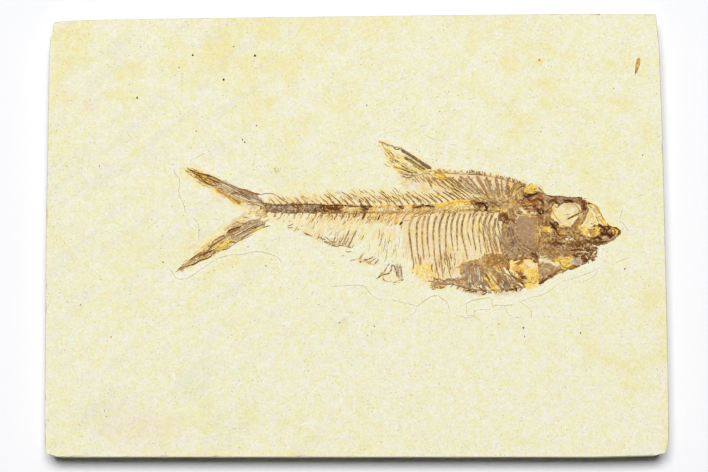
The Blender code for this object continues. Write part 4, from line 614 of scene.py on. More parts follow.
# Patches of stain on the bones, one over the other: tone, radius and route. The dark ones are the more broken
DARK_TONES = ("dark", "umber", "brown", "rust")
BONE_PATCHES = toned(2,
    ("straw", 0.8, -46.2, 17.6, -45.2, 16.9), ("ochre", 1.2, -44.6, 16.2, -40, 14.2),
    ("umber", 0.5, -40.4, 14.6, -37.4, 13.4), ("lilac", 1.4, -36, 12.8, -31.4, 10.8, -26.4, 8.6),
    ("rust", 0.45, -31.4, 12, -27.6, 10.9, -25.4, 10.2),
    ("ochre", 0.5, -38, 11.8, -35.4, 10.4, -33, 9.2, -31.4, 8.1), ("tan", 1, -47.6, -9.8, -44, -8.2),
    ("umber", 0.8, -44, -7.6, -41.4, -6.2, -38.4, -4.6), ("gold", 0.5, -42.6, -5, -40.8, -3.8),
    (0.7, -36.6, -4, -35, -3.2, -34, -2.4), ("brown", 0.6, -39.2, -3.4, -36, -1.2),
    ("lilac", 1, -33, -1, -29.4, 0.9, -26.4, 2.6), ("rust", 0.4, -34.6, 0.2, -31.6, 1.4),
    ("gold", 0.5, -28.2, 0, -25.4, 1.3), ("umber", 1.5, -23.6, 6.8, -9.6, 6.6),
    ("grey", 1, -23.2, 7, -20.2, 6.8), ("lilac", 0.6, -18.6, 6.9, -17.6, 6.6),
    ("grey", 0.9, -13.4, 6.9, -10.6, 6.8), ("amber", 1.5, 4.6, 6.4, 21, 6.5, 26, 7),
    ("straw", 0.9, 27.4, 7.4, 31, 7.2), ("gold", 0.6, -24.4, 3.6, -22.8, 4.4),
    ("dark", 0.9, -10.4, 6.8, -6.4, 6.6, -4.6, 6.5), ("rust", 0.5, -7.4, 6.2, -5.2, 5.9),
    ("amber", 0.7, -3, 6.2, 0.6, 6.2), ("cream", 0.5, -1.6, 6.4, -0.8, 6.2), ("dark", 0.6, 1.9, 6.8, 4, 7),
    ("amber", 0.9, 3.8, 4.4, 13, 4.2), ("film", 1.1, -21.6, 9.5, -9.6, 9.7), (0.9, -21.6, 3.9, -11, 3.6),
    ("ochre", 0.5, 4.4, 5.5, 14, 5.5), ("amber", 0.4, -3.4, 5.5, 1, 5.5),
    (0.9, 4.6, 6.4, 8.4, 6.4, 12.6, 6.3, 21, 6.3), ("cream", 0.55, 6.6, 6.3, 7.4, 6.2),
    (0.6, 9.4, 6.2, 10.6, 6.2), (0.5, 13.2, 6.2, 14.2, 6.2), ("dark", 0.5, 11.4, 7.3, 12.4, 6.9),
    (0.6, 15.8, 7, 17.6, 7.1), (0.7, 18.8, 7.3, 21, 7.1),
    ("gold", 0.6, 22, 7.3, 24.8, 8, 27.6, 8.6, 30.2, 8.8), ("cream", 0.5, 21.8, 6.2, 23.6, 6.4),
    ("straw", 0.6, 24, 6.4, 27, 6.5, 30, 6.7), ("dark", 0.7, 32.4, 8, 34.8, 7.8), (0.6, 35.2, 7, 35.4, 5.8),
    ("brown", 0.6, 36.2, 8, 38.4, 7.6, 40.2, 7.2), ("gold", 0.5, 38.6, 6.8, 40.6, 6.2),
    (0.8, 20, 16.4, 22.2, 15.7, 23.8, 15.2), ("brown", 0.6, 20.6, 17.5, 16.4, 20.2, 12.2, 22.9),
    ("film", 0.7, 7, 24.2, 8, 22.6), ("tan", 0.6, 8.8, 23.6, 7.4, 24.6, 6.2, 25),
    ("straw", 0.7, 15.4, 15.5, 20.6, 17.1), ("film", 0.8, 15.6, 15, 18.4, 14),
    ("straw", 0.7, 8.2, 22.6, 9, 20.4, 10.2, 18.6), ("gold", 0.5, 18.6, 17.4, 15.4, 19.4),
    ("ochre", 0.8, 10.4, 18.2, 13, 17), ("straw", 0.9, 12.6, 18.8, 14.6, 17.6),
    ("tan", 0.8, 33.4, 9.6, 36.6, 9.4, 39.4, 9), ("brown", 0.6, 30.6, 16.5, 34.8, 16),
    (0.5, 38.4, 14.9, 43, 14.2), ("tan", 0.9, 40.4, 12.6, 39.6, 10), ("ochre", 0.4, 43.2, 10, 44.6, 11.4),
    (0.8, 42.6, 8.6, 43.6, 9.6), ("gold", 1.2, 46.8, 11.6, 47.8, 12.2), (0.6, 48.6, 12.6, 49.4, 12),
    ("dark", 0.7, 45.6, 10.2, 46.8, 9.8), ("rust", 0.9, 46.6, 8.4, 49.6, 9.4),
    ("dark", 0.7, 48.6, 6.8, 50.4, 5.6), (0.6, 50.8, 9.8, 52, 8.8, 53.6, 9),
    ("mauve", 0.8, 51, 9.6, 52.8, 10), (0.7, 50.8, 8, 51.4, 6.8), ("cream", 0.5, 44.6, 6.4, 45.6, 5.4),
    (0.35, 47.6, 5.4, 48.4, 5.2), ("tan", 0.5, 44.2, 5, 45, 4.6), ("ochre", 0.6, 45.6, 7.8, 47.4, 7.4),
    ("gold", 0.5, 46, 4.8, 46.8, 4.6), ("dark", 0.3, 53, 10, 57, 9.8, 61.2, 9.6),
    ("mauve", 0.5, 55.6, 10, 58.6, 9.8), ("dark", 0.6, 56.4, 8.6, 58.8, 8.5),
    ("orange", 0.5, 53.8, 7.2, 55, 7), ("dark", 0.8, 61.6, 8.6, 61.8, 7.4, 61.6, 6.6),
    ("gold", 0.5, 62.8, 8.6, 64, 7.8, 65, 6.8), (0.6, 64.6, 6.8, 65.6, 5.2, 66.4, 3.6),
    ("cream", 0.3, 64, 7, 65, 5.4, 65.8, 3.8), ("mauve", 0.6, 61.4, 5.2, 59.4, 4.2),
    ("gold", 0.5, 60.8, 5.4, 59, 4.7, 57.6, 4.3), (0.5, 62, 3.4, 60.4, 1.8),
    ("brown", 0.7, 60.4, 3.6, 59.4, 2.4, 59, 1.2), ("cream", 0.7, 57.6, 2.4, 58.4, 3),
    ("gold", 0.9, 64.6, 1.2, 65.4, 0.2), (0.7, 69.4, 0.8, 70.2, 0.2), ("dark", 0.8, 66, 1.6, 67.8, 1),
    (0.8, 66.2, -0.4, 68.8, -0.6), ("mauve", 0.6, 66.8, -1.8, 69, -1.6),
    ("ochre", 0.5, 63.8, -0.6, 64.6, -1), ("gold", 0.9, 50.9, 0.9, 51.9, 0.8),
    ("dark", 0.45, 53, 2.4, 54, 1), ("ochre", 0.8, 55.6, 0.2, 56.8, -0.2),
    ("cream", 0.6, 57, -1.5, 58.6, -1.8), ("mauve", 0.9, 52.6, -3.6, 54.6, -4.4, 56.4, -4.6),
    ("dark", 0.6, 52.6, -2.8, 56, -3.2), ("ochre", 0.5, 59.6, -0.4, 60.8, -1),
    ("dark", 0.7, 57.6, -3, 61, -3.4, 63, -2.2), (1, 61.6, -6.8, 64.2, -4.6),
    ("gold", 0.4, 61.4, 0.2, 62.6, -0.8), ("brown", 1, 51.4, -5.6, 55.4, -5.8, 59, -5.4),
    ("gold", 1.4, 55, -8, 56.6, -8.4, 57.4, -7.7), ("straw", 0.4, 54.6, -8.4, 55.4, -8.8),
    ("cream", 0.5, 58.2, -7.6, 59.6, -7.4), ("lilac", 0.8, 58.8, -8, 60.4, -8.4),
    ("dark", 0.5, 59, -6.4, 60.2, -6), ("cream", 0.45, 49.4, -6, 50.8, -7.4, 52.8, -8.4, 54.4, -9),
    ("mauve", 0.7, 51.8, -9.2, 53.6, -10), (2.2, 45.4, 2.4, 45.8, -1.6),
    (1.3, 42.8, 1.6, 42.6, -2.4, 44.2, -4.6, 47.6, -5), ("grey", 0.8, 41.8, 0.6, 42.4, -3.2),
    ("ochre", 0.35, 48.5, 1.8, 48.8, 0.2, 48.7, -2.4), ("grey", 1.2, 40, -1.6, 41.4, -5),
    ("lilac", 0.9, 40.2, -1.8, 41.6, -5), ("dark", 0.8, 47.8, -5.8, 48.6, -6.8),
    ("gold", 1, 44.6, -8.4, 46.6, -9.6, 48.2, -11.4), ("cream", 0.7, 46.2, -8.5, 47.8, -9.2),
    ("orange", 0.9, 42.8, -9.6, 44.6, -10.6), ("rust", 0.7, 43.4, -10.8, 44.4, -11.4),
    ("dark", 0.5, 44.8, -12, 45.8, -12.4), ("gold", 0.7, 46.8, -12.6, 48.6, -13.2),
    ("rust", 0.4, 43.8, -8.4, 44.8, -7.8), ("dark", 0.6, 39.8, 4.8, 40.8, 3.6),
    ("gold", 0.3, 42, -9.4, 42.8, -10.6), ("orange", 0.6, 26.6, -9.2, 28.4, -9.6),
    ("ochre", 1, 34, -7, 37, -8.6, 39.4, -9.8), ("rust", 0.5, 35, -8.2, 38.4, -8.4),
    ("gold", 1.1, 35.6, -12, 36.6, -13.4, 37.8, -15.4),
    ("cream", 0.6, 7.6, -12.6, 8.8, -13.3, 10.6, -13.3, 12, -12.5), (1.2, 8.8, -11.6, 10.2, -12.2),
    (0.6, 9.8, -9.8, 10.2, -10.6), (0.4, 1, -7.7, 4.6, -8.5), ("umber", 0.35, 35, -11.6, 36.2, -13.4),
    (0.35, 37.2, -12, 38.6, -14.2), ("cream", 0.55, 32, -12.6, 33.2, -14.6), (0.5, 27.6, -11.2, 28.2, -12.2),
    (0.5, 24.2, -10.2, 24.2, -11.8), ("mauve", 1.3, 30.2, -9.8, 30.4, -13.6), (0.9, 32.8, -9, 33, -12.4),
    (0.5, 22.4, -13.4, 28.6, -14.4), ("cream", 0.5, 31.8, -14.4, 32.6, -15.4),
    (0.45, 35.2, -14.6, 35.8, -15.6), ("straw", 0.5, 38.4, -15, 38.6, -15.8),
    ("tan", 0.6, 41.8, -15, 42.2, -13.8), ("cream", 0.5, 30.2, -11, 30.8, -12),
    ("straw", 0.8, 20.4, -14.6, 22.8, -15), ("grey", 0.6, 39, -12, 40.4, -14.4),
    ("lilac", 0.5, 41.6, -12, 42.6, -13.6), ("straw", 0.45, 32.6, 4.2, 32.8, -0.6), (0.4, 29.9, 5, 30, 0.4),
    ("tan", 0.45, 16, 5.2, 14.5, 3, 14.2, 0.4), (0.4, 18, 5, 16.6, 3.4),
    (0.4, 19.6, 4.8, 18.2, 2.8, 18, 0.6),
)

# Films and stains on the stone itself: tone, radius, strength, edge width, how broken they are, and route
STONE_STAINS = toned(5,
    ("pale", 1.6, 0.5, 1, 0.3, -49, 17.8, -42, 19, -34, 15.4, -26, 12.6),
    (1.6, 0.5, 1, 0.3, -50, -10.4, -44, -10.6, -36, -6.6, -28, -1.6),
    (1.6, 0.4, 1, 0.3, 18, -16.6, 30, -18, 44, -17.4, 54, -12.6, 64, -8.6, 70, -3.6),
    (1.4, 0.4, 1, 0.3, 4, 26, 14, 24, 24, 18.6, 36, 17.2, 46, 14.6, 60, 11.4, 68, 6),
    ("straw", 1.7, 0.6, 1, 0.5, -38, 11.2, -33, 8.6, -29.4, 6.8),
    (1.4, 0.6, 1, 0.5, -37, -0.6, -32.4, 3.2, -28, 5.2), (1.6, 0.6, 1, 0.4, -27, 6, -22, 4.4),
    (2.2, 0.5, 1.4, 0.4, -46, 16.8, -38, 13.6),
    (2.8, 0.5, 1.8, 0.3, -22, 8.6, -10, 9, 4, 9.2, 16, 9.4, 28, 10.4, 36, 11),
    ("film", 1.5, 0.4, 1.2, 0.4, -20, 8.6, -10, 8.8, 4, 9, 16, 9, 30, 10),
    ("straw", 2.2, 0.4, 1.6, 0.3, -22, 4.6, -10, 3.9, 0, 3.8),
    ("amber", 1.8, 0.75, 1.4, 0.3, 2.6, 4.4, 13, 4.2), ("film", 1.2, 0.5, 1, 0.4, -10, 4.6, 4, 4.2, 12, 2.6),
    (1.6, 0.9, 1, 0, 12, 5.4, 24, 5.6, 38.4, 6), ("amber", 0.8, 0.8, 0.6, 0.2, 14, 5.4, 24, 5.9, 38.4, 6.2),
    ("straw", 2, 0.3, 1.6, 0.3, -14, 1.8, -4, 0.4, 6, 0, 12, 0.4),
    (2, 0.25, 1.6, 0.4, 4, -5, 10, -4.6, 13, -6), ("film", 3.4, 0.75, 1.6, 0.1, 15.6, 2, 17, -4),
    (5.2, 0.62, 2, 0.1, 20, 0.6, 27, -1, 34, -2, 40, -1), (3, 0.8, 1.6, 0.2, 20, -7, 26, -8.6, 29, -7.4),
    ("cream", 1.4, 0.8, 1, 0.3, 30, -1, 32.4, -4.6), ("tan", 2.2, 0.6, 1.4, 0.4, 36, 3, 39, 0, 38, -4),
    ("cream", 1, 0.6, 1, 0.4, 19.6, 1.6, 21, -4.6), ("straw", 1.6, 0.5, 1, 0.4, 29.6, -0.6, 33, -1),
    ("cream", 1.2, 0.6, 1, 0.4, 27.4, -4.4, 31.6, -6.4),
    ("straw", 2.2, 0.7, 1.2, 0.3, 16.6, -9.8, 19.6, -11, 22.4, -13.6),
    ("film", 1.6, 0.7, 1, 0.2, 21.6, -11.4, 27, -11),
    (1.1, 0.9, 0.8, 0.1, 22, 16.2, 30, 15.6, 37, 15, 44, 13.2),
    (2.8, 0.8, 1.4, 0.2, 24, 13.2, 30, 12.6, 36, 12.6, 42, 11.8),
    ("tan", 1.6, 0.5, 1.2, 0.4, 26, 12, 32, 11.6, 40, 10.4),
    ("straw", 2.4, 0.8, 1.2, 0.2, 20, 15.8, 24, 14.6, 28, 12.6),
    (1.9, 0.8, 1, 0.3, 9, 21.4, 11.6, 18.6, 15, 17.4), (1, 0.9, 0.8, 0.1, 7.6, 23.8, 8.8, 22.6),
    (1.7, 0.7, 1, 0.3, 10.6, 20.6, 14.4, 20, 18, 17.6), ("cream", 1.4, 0.6, 1, 0.3, 13.6, 16.4, 19, 15.6),
    ("film", 1.2, 0.6, 0.8, 0.3, 12, 15.4, 18, 14.8), (1.5, 0.6, 1, 0.3, 18, 12.6, 23, 12.4),
    ("gold", 3.2, 0.95, 1.2, 0.1, 44.6, -9.6, 46.8, -11.4),
    ("straw", 1.6, 0.9, 1, 0.1, 42.4, -9.2, 43.4, -10.4),
    ("cream", 4.6, 0.8, 1.6, 0.1, 55.8, 5.2, 58.6, 4.4), ("straw", 1.3, 0.8, 1, 0.2, 53.4, 6.4, 54, 4.2),
    ("pink", 0.9, 0.4, 0.8, 0.2, 59.4, 7.4, 60.4, 5.6), ("straw", 1.6, 0.6, 1, 0.3, 54, 5.4, 55.6, 3),
    ("cream", 2.2, 0.8, 1, 0.2, 62.6, 3, 64, 5), ("straw", 1.2, 0.7, 0.8, 0.3, 64.4, 5.6, 65.4, 2.6),
    ("tan", 0.9, 0.7, 0.6, 0.4, 52.6, 5.6, 53.2, 7.2, 55, 7.6), (0.8, 0.6, 0.6, 0.4, 54.6, 1.6, 58, 1.2),
    ("ochre", 0.6, 0.6, 0.5, 0.4, 56.6, 7.6, 59.4, 7.6, 60.6, 6), ("tan", 2, 0.9, 0.8, 0.2, 43, 9, 43.4, 12),
    (1.4, 0.8, 0.8, 0.3, 46, 12.4, 49.4, 11.8),
    ("ochre", 0.8, 0.6, 0.6, 0.3, 27.4, -14.6, 30, -15.2, 34, -16.4),
    (0.7, 0.5, 0.6, 0.3, 38, -16, 41, -16.6, 44, -15.6), ("gold", 0.5, 0.6, 0.4, 0.2, -18, 1.6, -15.6, 1),
    ("ochre", 0.5, 0.6, 0.4, 0.2, -13.8, -0.2, -12, -0.8), ("film", 1, 0.6, 0.6, 0.3, -11, -1.2, -6, -2.6),
    (1.2, 0.5, 0.8, 0.3, -5, -2, -1, -2.6), (0.9, 0.6, 0.6, 0.3, 0.6, -7.4, 5.6, -7.8),
    ("cream", 1.8, 0.5, 0.9, 0.3, 8, -11.6, 11.8, -11.4), (0.9, 0.6, 0.6, 0.2, 8.6, -11.8, 11, -12.4),
    ("gold", 0.9, 0.8, 0.8, 0.3, 46.4, -14.4, 48.4, -14.2),
    ("yellow", 3.2, 1, 4, 0.3, -79.6, 53.4, -75, 54.4), (1.4, 1, 2, 0.3, -81.4, 49, -81.6, 38.6),
    (2, 1, 2.4, 0.3, -26.4, 53.4, -22.4, 55.4), ("straw", 0.8, 0.6, 1, 0.2, -78.6, 46.2),
    ("gold", 0.6, 0.4, 1, 0.3, -41.6, 57.9), ("yellow", 1.6, 1, 1.8, 0.3, -76, 49.6, -72.6, 47.6),
    (1.5, 1, 1.8, 0.3, -64.6, 43.4, -61, 45.6), (1, 1, 1.4, 0.3, -60.6, 21.6, -58.6, 22.8),
    (1, 0.9, 1.4, 0.3, -67.4, 38, -64.8, 37.6), ("blush", 1.6, 0.9, 1.6, 0.2, -73.4, 34.4, -71.6, 35),
    ("straw", 0.6, 0.5, 0.5, 0, -27.5, 48.7), (0.7, 0.5, 0.5, 0, 60.4, -27.2),
    ("olive", 0.6, 1, 0.4, 0, -21.9, 18.4, -21.9, 16.6), ("gold", 0.5, 0.8, 0.3, 0, 50, 47.8, 50, 47.1),
    ("ochre", 0.3, 0.4, 0.3, 0, -3.1, 40.9, -2.9, 40.3), (0.25, 0.4, 0.3, 0, -1.4, 40.9, -1.1, 40.4),
    ("brown", 0.5, 0.3, 0.5, 0.2, -5.4, -24.4, -3, -24), ("gold", 0.4, 0.5, 0.3, 0, 38.2, -25, 38.8, -24.4),
    ("yellow", 2.2, 0.3, 1.6, 0.2, 60.2, -26, 60.6, -28.4),
)

# Short streaks of stain strewn over the stone, written like the splinters
STONE_STREAKS = routes(8,
    (100, 1.5, 142, 6, 1, 3, 0.34, "straw film straw cream", -22, 9, 0, 9.4, 18, 9.6, 30, 10.6),
    (70, 1.3, 56, 10, 0.8, 2, 0.34, "film straw gold pink", -12, 4.2, -2, 4, 12, 3.8),
    (60, 2.2, 70, 8, 1, 2.6, 0.3, "film pink cream straw", -14, 1.2, 0, 0.2, 12, 0.6),
    (240, 5.6, 86, 10, 1, 3.4, 0.46, "cream pink straw cream cream pink", 17, -1, 25, -1.4, 35, -1),
    (60, 2.2, 84, 10, 1, 2.8, 0.44, "film pink tan cream", 21, -8, 28, -8),
    (80, 2.2, -54, 12, 1, 2.6, 0.4, "straw pink film tan cream", 22, 14.4, 30, 13, 38, 13, 42, 12),
    (30, 1.9, -36, 8, 0.8, 2.4, 0.3, "straw gold cream pink", 9.6, 21, 13, 18.6, 18, 17),
    (40, 1.6, -28, 10, 1, 2.6, 0.32, "straw cream pink ochre", -44, 15.6, -34, 10.8, -28, 7.2),
    (40, 1.7, 32, 10, 1, 2.6, 0.32, "straw cream pink tan", -44, -5.6, -34, 1.4, -27, 5),
    (30, 1.7, 90, 10, 1, 2.6, 0.38, "straw gold cream", 16.6, -9.6, 22, -11.8),
    (26, 2.6, 20, 70, 0.5, 1.6, 0.34, "cream straw tan pink", 55.6, 5, 58, 4.4),
    (20, 1.4, 60, 20, 0.5, 1.6, 0.3, "cream straw gold tan", 62.6, 2.6, 64.6, 5),
    (16, 1.6, -40, 12, 0.8, 2, 0.34, "film straw pink", 13, 13.4, 21, 12.8),
)

# The ground that was cleaned around the fish: half-widths and routes of one broad brush
CLEANED = routes(1,
    (7, -48, 16.5, -40, 13.5, -28, 9), (7, -48, -10, -38, -5, -26, 3), (7, -30, 6.5, -12, 6, 6, 5),
    (9, -6, -2, 8, -5, 20, -7), (9, 8, 20, 16, 17, 26, 13, 40, 9), (11, 16, 2, 30, -2, 44, -3),
    (11, 30, -9, 44, -8, 56, -3), (9, 46, 6, 58, 4, 66, 0),
)


# --- Chance and distance over the stone's face ---

CHANCE_CELLS = 512
CHANCE_OFFSET = 256.37


def cloud(places, size, seed):
    """Soft random values, -1 to 1, over places in millimetres. One patch is about size wide."""
    table = np.random.RandomState(seed).uniform(-1.0, 1.0, (CHANCE_CELLS, CHANCE_CELLS))
    cell = places[:, :2] / size + CHANCE_OFFSET
    corner = np.floor(cell).astype(int)
    share = cell - corner
    share = share * share * (3 - 2 * share)
    left, low = corner[:, 0] % CHANCE_CELLS, corner[:, 1] % CHANCE_CELLS
    right, high = (left + 1) % CHANCE_CELLS, (low + 1) % CHANCE_CELLS
    below = table[left, low] * (1 - share[:, 0]) + table[right, low] * share[:, 0]
    above = table[left, high] * (1 - share[:, 0]) + table[right, high] * share[:, 0]
    return below * (1 - share[:, 1]) + above * share[:, 1]


def ragged(places, size, seed):
    """Random values with finer ones laid over them, for edges that crumble."""
    broad, middle = 0.6 * cloud(places, size, seed), 0.3 * cloud(places, size / 2.3, seed + 1)
    return broad + middle + 0.2 * cloud(places, size / 5, seed + 2)


def reach(places, route):
    """Distance from each place to a route of straight pieces, in millimetres."""
    stops = np.array(route, float)
    nearest = np.hypot(*(places[:, :2] - stops[0]).T)
    for start, end in zip(stops, stops[1:]):
        span = end - start
        share = np.clip((places[:, :2] - start) @ span / (span @ span), 0, 1)
        nearest = np.minimum(nearest, np.hypot(*(places[:, :2] - start - share[:, None] * span).T))
    return nearest


def ease(value):
    """Runs from 0 to 1 with soft ends."""
    value = np.clip(value, 0, 1)
    return value * value * (3 - 2 * value)


def toward(colours, colour, share):
    """Moves each colour towards one colour by its own share."""
    return colours + (np.array(colour) - colours) * share[:, None]


def brush(colours, places, unevenness, colour, radius, route, edge=0.12, strength=1.0, holes=None):
    """Lays one patch of stain over the colours of some places, sparing those that holes (0 to 1) marks."""
    stops = np.array(route, float)
    spread = radius * 1.7 + edge + 0.3
    inside = np.all((places[:, :2] > stops.min(0) - spread) & (places[:, :2] < stops.max(0) + spread), axis=1)
    if not inside.any():
        return
    distance = reach(places[inside], route) + unevenness[inside] * min(0.55, radius * 0.75)
    cover = strength * ease((radius + edge - distance) / (2 * edge))
    if holes is not None:
        cover = cover * (1 - holes[inside])
    colours[inside] = toward(colours[inside], colour, cover)


def flecked(colours, places, colour, share, size, seed, strength):
    """Stains a share of the places in ragged flecks that are about size wide."""
    values = ragged(places, size, seed)
    line = np.quantile(values, 1 - share)
    return toward(colours, colour, strength * ease((values - line) / 0.25 + 0.5))


def patched(colours, places, grained, bone, size, edge):
    """Lays the patches that run over all of the skeleton, broken by holes that follow the grain."""
    unevenness = ragged(places, 1.1, 91)
    holes = 0.6 * ease((ragged(grained, size, 95) - 0.02) / 0.3)
    for tone, radius, route in BONE_PATCHES:
        broken = holes if tone in DARK_TONES else 0.35 * holes
        brush(colours, places, unevenness, getattr(bone, tone), radius, route, edge, 0.95, broken)


def peppered(colours, places, strength):
    """Breaks colours up with small dark and light specks."""
    values = 0.6 * cloud(places, 0.55, 231) + 0.5 * cloud(places, 0.32, 233)
    dark = ease((values - 0.22) / 0.25) * 0.36 * strength
    light = ease((-0.24 - values) / 0.25) * 0.4 * strength
    colours = colours * (1 - dark[:, None] * np.array([0.8, 1.0, 1.15]))
    return np.clip(toward(colours, [0.84, 0.72, 0.44], light), 0, 1)


def smooth_route(route, step):
    """Even stops along a curve that passes through the given ones."""
    stops = np.array(route, float)
    if len(stops) > 2:
        padded = np.vstack([2 * stops[0] - stops[1], stops, 2 * stops[-1] - stops[-2]])
        t = np.linspace(0, 1, 8, endpoint=False)[:, None]
        pieces = []
        for a, b, c, d in zip(padded, padded[1:], padded[2:], padded[3:]):
            square, cube = (2 * a - 5 * b + 4 * c - d) * t ** 2, (3 * b - a - 3 * c + d) * t ** 3
            pieces.append(0.5 * (2 * b + (c - a) * t + square + cube))
        stops = np.vstack(pieces + [stops[-1:]])
    along = np.concatenate([[0], np.cumsum(np.hypot(*np.diff(stops, axis=0).T))])
    count = max(3, int(round(along[-1] / step)) + 1)
    even = np.linspace(0, along[-1], count)
    return np.column_stack([np.interp(even, along, stops[:, 0]), np.interp(even, along, stops[:, 1])])


def strewn(grounds, seed):
    """Routes of short splinters, scattered by chance over their grounds."""
    chance = random.Random(seed)
    strokes = []
    for count, spread, lie, swing, shortest, longest, width, tones, route in grounds:
        way = smooth_route(route, 0.2)
        for number in range(count):
            angle = math.radians(chance.gauss(lie, swing / 1.5))
            along = np.array([math.cos(angle), math.sin(angle)])
            across = np.array([-along[1], along[0]])
            stop = way[chance.randrange(len(way))]
            middle = stop + spread * np.array([chance.uniform(-1, 1), chance.uniform(-1, 1)])
            half = chance.uniform(shortest, longest) / 2
            bend = chance.uniform(-0.16, 0.16) * half
            tone = chance.choice(tones.split())
            splinter = [middle - half * along, middle + bend * across, middle + half * along]
            strokes.append((tone, width * chance.uniform(0.6, 1.3), splinter))
    return strokes


# --- Meshes ---

def work_on(piece):
    """Leaves only this piece selected and active."""
    if bpy.context.object and bpy.context.object.mode != "OBJECT":
        bpy.ops.object.mode_set(mode="OBJECT")
    bpy.ops.object.select_all(action="DESELECT")
    piece.select_set(True)
    bpy.context.view_layer.objects.active = piece


def rows_of(items, field):
    """One vector of each vertex, normal or face of a mesh, a row to each."""
    flat = np.empty(len(items) * 3, np.float32)
    items.foreach_get(field, flat)
    return flat.reshape(-1, 3)


def corners(piece):
    """A piece's vertex places, in millimetres."""
    return rows_of(piece.data.vertices, "co").astype(float) / MM


def set_corners(piece, places):
    piece.data.vertices.foreach_set("co", (places * MM).astype(np.float32).ravel())
    piece.data.update()


def keep_colours(piece, colours):
    """Stores a linear colour for each vertex of a piece."""
    layer = piece.data.color_attributes.new("tint", "FLOAT_COLOR", "POINT")
    opaque = np.column_stack([colours, np.ones(len(colours))])
    layer.data.foreach_set("color", opaque.astype(np.float32).ravel())


def pick(piece, kind, chosen):
    """Selects the chosen vertices or faces of a piece and leaves it in edit mode."""
    work_on(piece)
    bpy.ops.object.mode_set(mode="EDIT")
    bpy.ops.mesh.select_mode(type=kind)
    bpy.ops.mesh.select_all(action="DESELECT")
    bpy.ops.object.mode_set(mode="OBJECT")
    items = piece.data.polygons if kind == "FACE" else piece.data.vertices
    items.foreach_set("select", chosen)
    bpy.ops.object.mode_set(mode="EDIT")


def apply_modifier(piece, kind, **settings):
    """Adds a modifier, sets it up and applies it."""
    work_on(piece)
    modifier = piece.modifiers.new(kind.title(), kind)
    for name, value in settings.items():
        setattr(modifier, name, value)
    bpy.ops.object.modifier_apply(modifier=modifier.name)


def lumps_of(name, size):
    """A cloudy texture whose lumps are size wide, in metres, made once."""
    texture = bpy.data.textures.get(name) or bpy.data.textures.new(name, "CLOUDS")
    texture.noise_scale = size
    texture.noise_depth = 2
    return texture


def finder_of(points):
    """A search tree over some points."""
    finder = kdtree.KDTree(len(points))
    for index, point in enumerate(points):
        finder.insert(point, index)
    finder.balance()
    return finder


# --- Shaders ---

class Wire:
    """A shader socket that can be used in plain sums."""

    def __init__(self, finish, socket):
        self.finish = finish
        self.socket = socket

    def sum(self, operation, first, second):
        return self.finish.node("ShaderNodeMath", {"operation": operation}, {0: first, 1: second})

    def __add__(self, other):
        return self.sum("ADD", self, other)

    def __sub__(self, other):
        return self.sum("SUBTRACT", self, other)

    def __rsub__(self, other):
        return self.sum("SUBTRACT", other, self)

    def __mul__(self, other):
        return self.sum("MULTIPLY", self, other)

    __radd__ = __add__
    __rmul__ = __mul__

    def over(self, low, high):
        """Rises smoothly from 0 at low to 1 at high."""
        smooth = {"interpolation_type": "SMOOTHSTEP"}
        return self.finish.node("ShaderNodeMapRange", smooth, {0: self, 1: low, 2: high})


class Finish:
    """A material that is being put together around one principled surface."""

    def __init__(self, name):
        self.material = bpy.data.materials.new(name)
        self.material.use_nodes = True
        self.tree = self.material.node_tree
        self.surface = self.tree.nodes["Principled BSDF"]
        self.place = self.node("ShaderNodeTexCoord", output="Object")

    def node(self, kind, settings=None, inputs=None, output=0):
        """Adds a node, sets it up, fills its sockets and hands back one of its outputs."""
        node = self.tree.nodes.new(kind)
        for name, value in (settings or {}).items():
            setattr(node, name, value)
        for socket, value in (inputs or {}).items():
            self.feed(node.inputs[socket], value)
        return Wire(self, node.outputs[output])

    def feed(self, socket, value):
        """Links a socket, or sets it to a number, a vector or a colour without its alpha."""
        if isinstance(value, Wire):
            self.tree.links.new(value.socket, socket)
        elif isinstance(value, (int, float)):
            socket.default_value = value
        else:
            socket.default_value = tuple(value) + (1.0,) * (len(socket.default_value) - len(tuple(value)))

    def set(self, **inputs):
        """Fills the sockets of the surface, whose spaces are written as underscores."""
        for name, value in inputs.items():
            self.feed(self.surface.inputs[name.replace("_", " ")], value)

    def noise(self, size, detail=3.0, rough=0.55, warp=0.0, place=None):
        """Cloudy values whose lumps are about size millimetres wide."""
        return self.node("ShaderNodeTexNoise", {"noise_dimensions": "3D"}, {
            "Vector": place or self.place, "Scale": 1 / (size * MM), "Detail": detail,
            "Roughness": rough, "Distortion": warp})

    def turned(self, degrees, scale):
        """Places turned about the upright axis and scaled."""
        turn = (0, 0, math.radians(-degrees))
        return self.node("ShaderNodeMapping", {}, {"Vector": self.place, "Rotation": turn, "Scale": scale})

    def mix(self, share, first, second, kind="MIX"):
        """Lays a second colour over a first."""
        settings = {"data_type": "RGBA", "blend_type": kind}
        return self.node("ShaderNodeMix", settings, {0: share, 6: first, 7: second}, output=2)

    def tinged(self, share, colour, factors, base=None):
        """Lays the base, or else the colour itself, multiplied by factors, over the colour."""
        return self.mix(share, colour, self.mix(1.0, base or colour, factors, "MULTIPLY"))

    def stored(self, name, output="Fac"):
        """What a piece's vertices hold under a name."""
        return self.node("ShaderNodeAttribute", {"attribute_name": name}, output=output)

    def bump(self, height, depth, strength):
        """Relief whose full height is depth millimetres."""
        sockets = {"Strength": strength, "Distance": depth * MM, "Height": height}
        return self.node("ShaderNodeBump", {}, sockets)


